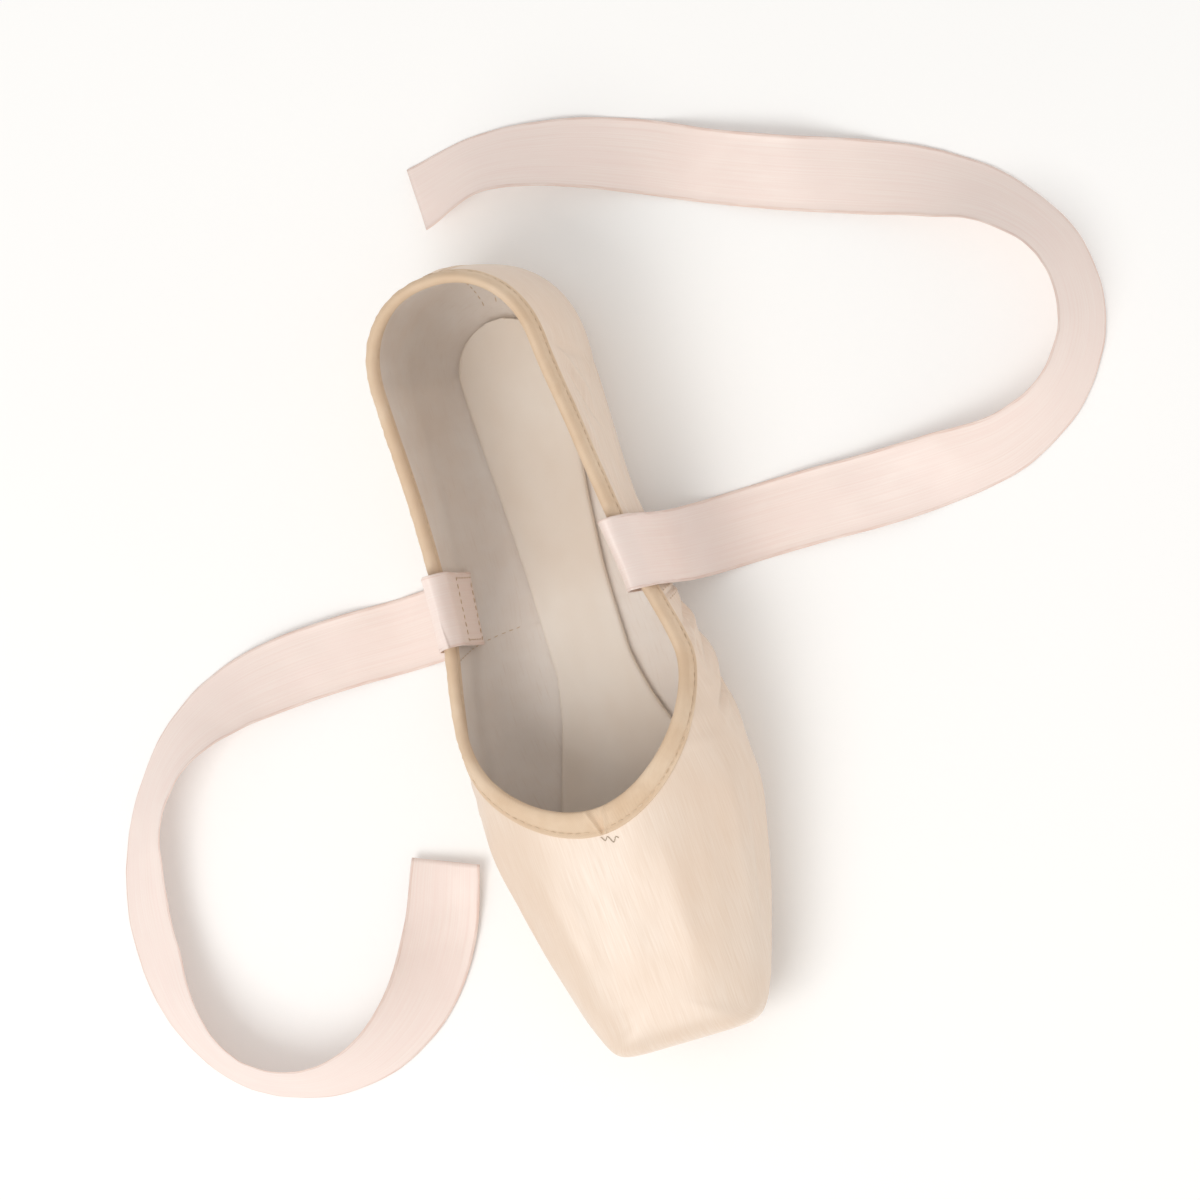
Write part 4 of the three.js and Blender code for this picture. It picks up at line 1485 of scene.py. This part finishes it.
def stitch_tree():
    """Geometry Nodes that lay a row of thread stitches along each line of a mesh. The lines carry the
    direction out of the cloth as the attribute out."""
    tree = bpy.data.node_groups.new("stitch rows", "GeometryNodeTree")
    sockets = {}

    def given(name, kind, default):
        socket = tree.interface.new_socket(name=name, in_out="INPUT", socket_type=kind)
        if default is not None:
            socket.default_value = default
        sockets[name] = socket.identifier

    given("Lines", "NodeSocketGeometry", None)
    given("Pitch", "NodeSocketFloat", 0.0025)
    given("Stitch Length", "NodeSocketFloat", 0.0018)
    given("Thread Width", "NodeSocketFloat", 0.0004)
    given("Unevenness", "NodeSocketFloat", 0.08)
    given("Seed", "NodeSocketInt", 1)
    given("Thread", "NodeSocketMaterial", None)
    tree.interface.new_socket(name="Stitches", in_out="OUTPUT", socket_type="NodeSocketGeometry")

    def node(kind, inputs=None, **settings):
        made = tree.nodes.new(kind)
        for name, value in settings.items():
            setattr(made, name, value)
        for name, value in (inputs or {}).items():
            if isinstance(value, bpy.types.NodeSocket):
                tree.links.new(value, made.inputs[name])
            else:
                made.inputs[name].default_value = value
        return made

    start = node("NodeGroupInput").outputs
    curves = node("GeometryNodeMeshToCurve", {"Mesh": start["Lines"]}).outputs["Curve"]
    dense = node("GeometryNodeResampleCurve", {"Curve": curves, "Length": start["Pitch"]}, mode="LENGTH")
    named = node("GeometryNodeInputNamedAttribute", {"Name": "out"}, data_type="FLOAT_VECTOR")
    out = named.outputs["Attribute"]
    tangent = node("GeometryNodeInputTangent").outputs[0]
    turn = node("FunctionNodeAxesToRotation", {0: out, 1: tangent}, primary_axis="Z", secondary_axis="X")
    thick = start["Thread Width"]
    width = node("ShaderNodeCombineXYZ", {0: start["Stitch Length"], 1: thick, 2: thick})
    half = node("ShaderNodeVectorMath", {0: width.outputs[0], "Scale": 0.5}, operation="SCALE").outputs[0]
    bead = node("GeometryNodeMeshUVSphere", {"Segments": 8, "Rings": 6, "Radius": 1.0}).outputs[0]
    lying = node("GeometryNodeTransform", {"Geometry": bead, "Rotation": (0, QUARTER_TURN, 0)}).outputs[0]
    thread = node("GeometryNodeTransform", {"Geometry": lying, "Scale": half}).outputs[0]
    spread = node("ShaderNodeMath", {0: start["Unevenness"], 1: -1.0}, operation="MULTIPLY").outputs[0]
    low = node("ShaderNodeCombineXYZ", {0: spread, 1: spread, 2: spread}).outputs[0]
    high = node("ShaderNodeCombineXYZ", {i: start["Unevenness"] for i in range(3)}).outputs[0]
    limits = {0: low, 1: high, "Seed": start["Seed"]}
    shake = node("FunctionNodeRandomValue", limits, data_type="FLOAT_VECTOR").outputs[0]
    sewn = {"Points": dense.outputs[0], "Instance": thread, "Rotation": turn.outputs[0]}
    rows = node("GeometryNodeInstanceOnPoints", sewn).outputs[0]
    sway = node("FunctionNodeEulerToRotation", {0: shake}).outputs[0]
    swayed = node("GeometryNodeRotateInstances", {"Instances": rows, "Rotation": sway}).outputs[0]
    solid = node("GeometryNodeRealizeInstances", {"Geometry": swayed}).outputs[0]
    finish = node("GeometryNodeSetMaterial", {"Geometry": solid, "Material": start["Thread"]}).outputs[0]
    tree.links.new(finish, node("NodeGroupOutput").inputs[0])
    return tree, sockets


STITCHES, STITCH_SOCKETS = stitch_tree()


def sew(name, lines, thread, slot, pitch, length, width, seed, unevenness=0.08):
    """Rows of stitches as one mesh. Each line is its points and the directions out of the cloth, in
    millimetres."""
    points = np.vstack([line for line, _ in lines]) * MM
    outs = np.vstack([out for _, out in lines])
    edges = []
    first = 0
    for line, _ in lines:
        edges.extend((first + i, first + i + 1) for i in range(len(line) - 1))
        first += len(line)
    mesh = bpy.data.meshes.new(name)
    mesh.from_pydata(points.tolist(), edges, [])
    layer = mesh.attributes.new("out", "FLOAT_VECTOR", "POINT")
    layer.data.foreach_set("vector", outs.astype(np.float32).ravel())
    carrier = bpy.data.objects.new(name + " lines", mesh)
    bpy.context.collection.objects.link(carrier)
    rows = carrier.modifiers.new("stitch rows", "NODES")
    rows.node_group = STITCHES
    values = {
        "Pitch": pitch * MM,
        "Stitch Length": length * MM,
        "Thread Width": width * MM,
        "Unevenness": unevenness,
        "Seed": seed,
        "Thread": thread,
    }
    for socket, value in values.items():
        rows[STITCH_SOCKETS[socket]] = value
    bpy.context.view_layer.update()
    evaluated = carrier.evaluated_get(bpy.context.evaluated_depsgraph_get())
    sewn = bpy.data.meshes.new_from_object(evaluated)
    sewn.name = name
    sewn.polygons.foreach_set("use_smooth", [True] * len(sewn.polygons))
    bpy.data.objects.remove(carrier)
    made = bpy.data.objects.new(name, sewn)
    bpy.context.collection.objects.link(made)
    return finished(made, slot)


def on_both_sides(lines):
    """Lines on the right side and their mirror images on the left."""
    return [*lines, *[(line * MIRROR, out * MIRROR) for line, out in lines]]


def facing_out(line, towards):
    """Directions square to a line, as near as can be to a given one."""
    travel = unit(np.gradient(line, axis=0))
    out = towards - travel * (towards * travel).sum(axis=1, keepdims=True)
    return unit(out)


def outward(rib, angle):
    """The direction out of the upper at a point of a rib."""
    inner, outer = point_on(rib, angle, 0.5), point_on(rib, angle, -0.5)
    return unit(outer - inner)


def collar_line(drop, proud, inside=False, clear=0.0):
    """A line along the whole collar, drop below its edge: the right half, heel to throat."""
    line, outs = [], []
    for stop in collar_stops(heel=20, side=34, seam=8, front=8, throat=36):
        rib, angle = stop.at(drop)
        wall = float(last("wall", rib.s))
        point = point_on(rib, angle, wall + proud if inside else -proud)
        if abs(point[0]) < clear:
            continue
        line.append(point)
        outs.append(outward(rib, angle) * (-1 if inside else 1))
    line = np.array(line)
    return line, facing_out(line, np.array(outs))


def sew_binding():
    rows = [
        collar_line(STITCH_DROP, proud=0.24, clear=4),
        collar_line(STITCH_DROP, proud=0.18, inside=True, clear=4),
    ]
    sew(
        "binding_stitches", on_both_sides(rows), CREAM_THREAD, "binding",
        pitch=2.5, length=1.8, width=0.36, seed=3,
    )


def seam_line(beside, inside=False):
    """A line beside the right side seam, from the binding to the feather edge."""
    line, outs = [], []
    for z in np.linspace(33.0, 6.5, 24):
        rib = Rib(float(seam_station(z)) + beside)
        angle = angle_at_height(rib, z)
        wall = float(last("wall", rib.s))
        line.append(point_on(rib, angle, wall + 0.1 if inside else -0.16))
        outs.append(outward(rib, angle) * (-1 if inside else 1))
    line = np.array(line)
    return line, facing_out(line, np.array(outs))


def sew_side_seams():
    rows = [seam_line(-1.6), seam_line(1.6), seam_line(0, inside=True)]
    sew(
        "side_seam_stitches", on_both_sides(rows), CREAM_THREAD, "satin",
        pitch=2.3, length=1.5, width=0.34, seed=5,
    )


def sew_heel():
    rows = []
    for x, inside in ((2.75, False), (3.0, True)):
        rib = heel_rib(heel_turn(x))
        _, start = Stop(rib).at(BINDING_WIDTH + 1)
        angles = np.linspace(start, -QUARTER_TURN * 0.8, 40)
        wall = float(last("wall", rib.s))
        line = point_on(rib, angles, wall + 0.1 if inside else -0.46)
        outs = np.array([outward(rib, float(a)) * (-1 if inside else 1) for a in angles])
        rows.append((line, facing_out(line, outs)))
    sew(
        "heel_tape_stitches", on_both_sides(rows), CREAM_THREAD, "satin",
        pitch=2.3, length=1.6, width=0.34, seed=7,
    )


def sole_line(ring, closed=True):
    if closed:
        ring = np.vstack([ring, ring[:1]])
    x, s = ring.T
    line = place(x, s, lift(s) + 0.34)
    return line, facing_out(line, np.tile([0.0, 0.0, -1.0], (len(line), 1)))


def sew_outsole():
    """One row all round the outsole and a second inside it, round the forepart."""
    second = sole_outline(SECOND_INSET)
    clear = from_edge(*second.T, sole_outline()) > SECOND_INSET - 0.1
    forepart = second[clear & (second[:, 1] > SECOND_START)]
    rows = [sole_line(sole_outline(STITCH_INSET)), sole_line(forepart, closed=False)]
    sew(
        "outsole_stitches", rows, SOLE_THREAD, "outsole_leather",
        pitch=3.7, length=3.0, width=0.62, seed=11, unevenness=0.05,
    )


TAB_PROUD = 0.3    # how far the stitches' centres lie off the ribbon's own centre


def tab_line(path):
    """Round the ribbon's sewn end, on the face that shows inside the shoe."""
    low, high = 1.5, 15.0
    across = RIBBON_WIDTH / 2 - 1.8
    sewn = 5    # a point of the path well inside the sewn end
    facing = 1 if path.out[sewn] @ (-path.centre[sewn] * [1, 0, 0]) > 0 else -1
    loop = [(low, -across), (high, -across), (high, across), (low, across), (low, -across)]
    line, outs = [], []
    for (a0, x0), (a1, x1) in zip(loop, loop[1:]):
        for t in steps(0, 1, 8)[:-1]:
            at = mix(a0, a1, t)
            i = int(np.argmin(np.abs(path.along - at)))
            share = at - path.along[i]
            point = path.centre[i] + path.travel[i] * share + path.across[i] * mix(x0, x1, t)
            line.append(point + path.out[i] * facing * TAB_PROUD)
            outs.append(path.out[i] * facing)
    line = np.array(line)
    return line, facing_out(line, np.array(outs))


def sew_tabs():
    rows = [tab_line(RIGHT_PATH), tab_line(LEFT_PATH)]
    sew(
        "ribbon_tab_stitches", rows, CREAM_THREAD, "ribbon",
        pitch=2.2, length=1.6, width=0.32, seed=13,
    )


TACK_KNOTS = [
    # across, ahead of the throat
    (-0.6, 8.5),
    (0.4, 9.9),
    (1.3, 8.9),
    (2.6, 11.0),
    (3.7, 9.6),
    (4.4, 10.2),
]
TACK_RADIUS = 0.12
TACK_PROUD = 0.14


def make_throat_tack():
    """A small zigzag of tacking thread that holds the tape's ends, just below the binding."""
    line = np.array([vamp_point(x, THROAT + ahead) + [0, 0, TACK_PROUD] for x, ahead in TACK_KNOTS])
    line = through(line, 6)
    curve = bpy.data.curves.new("throat_tack", "CURVE")
    curve.dimensions = "3D"
    curve.bevel_depth = TACK_RADIUS * MM
    curve.bevel_resolution = 3
    curve.use_fill_caps = True
    spline = curve.splines.new("POLY")
    spline.points.add(len(line) - 1)
    for point, place_at in zip(spline.points, line * MM):
        point.co = (*place_at, 1)
    curve.materials.append(GREY_THREAD)
    drawn = bpy.data.objects.new("tack curve", curve)
    bpy.context.collection.objects.link(drawn)
    bpy.context.view_layer.update()
    mesh = bpy.data.meshes.new_from_object(drawn.evaluated_get(bpy.context.evaluated_depsgraph_get()))
    bpy.data.objects.remove(drawn)
    tack = bpy.data.objects.new("throat_tack", mesh)
    bpy.context.collection.objects.link(tack)
    finished(tack, "binding")


sew_binding()
sew_side_seams()
sew_heel()
sew_outsole()
sew_tabs()
make_throat_tack()
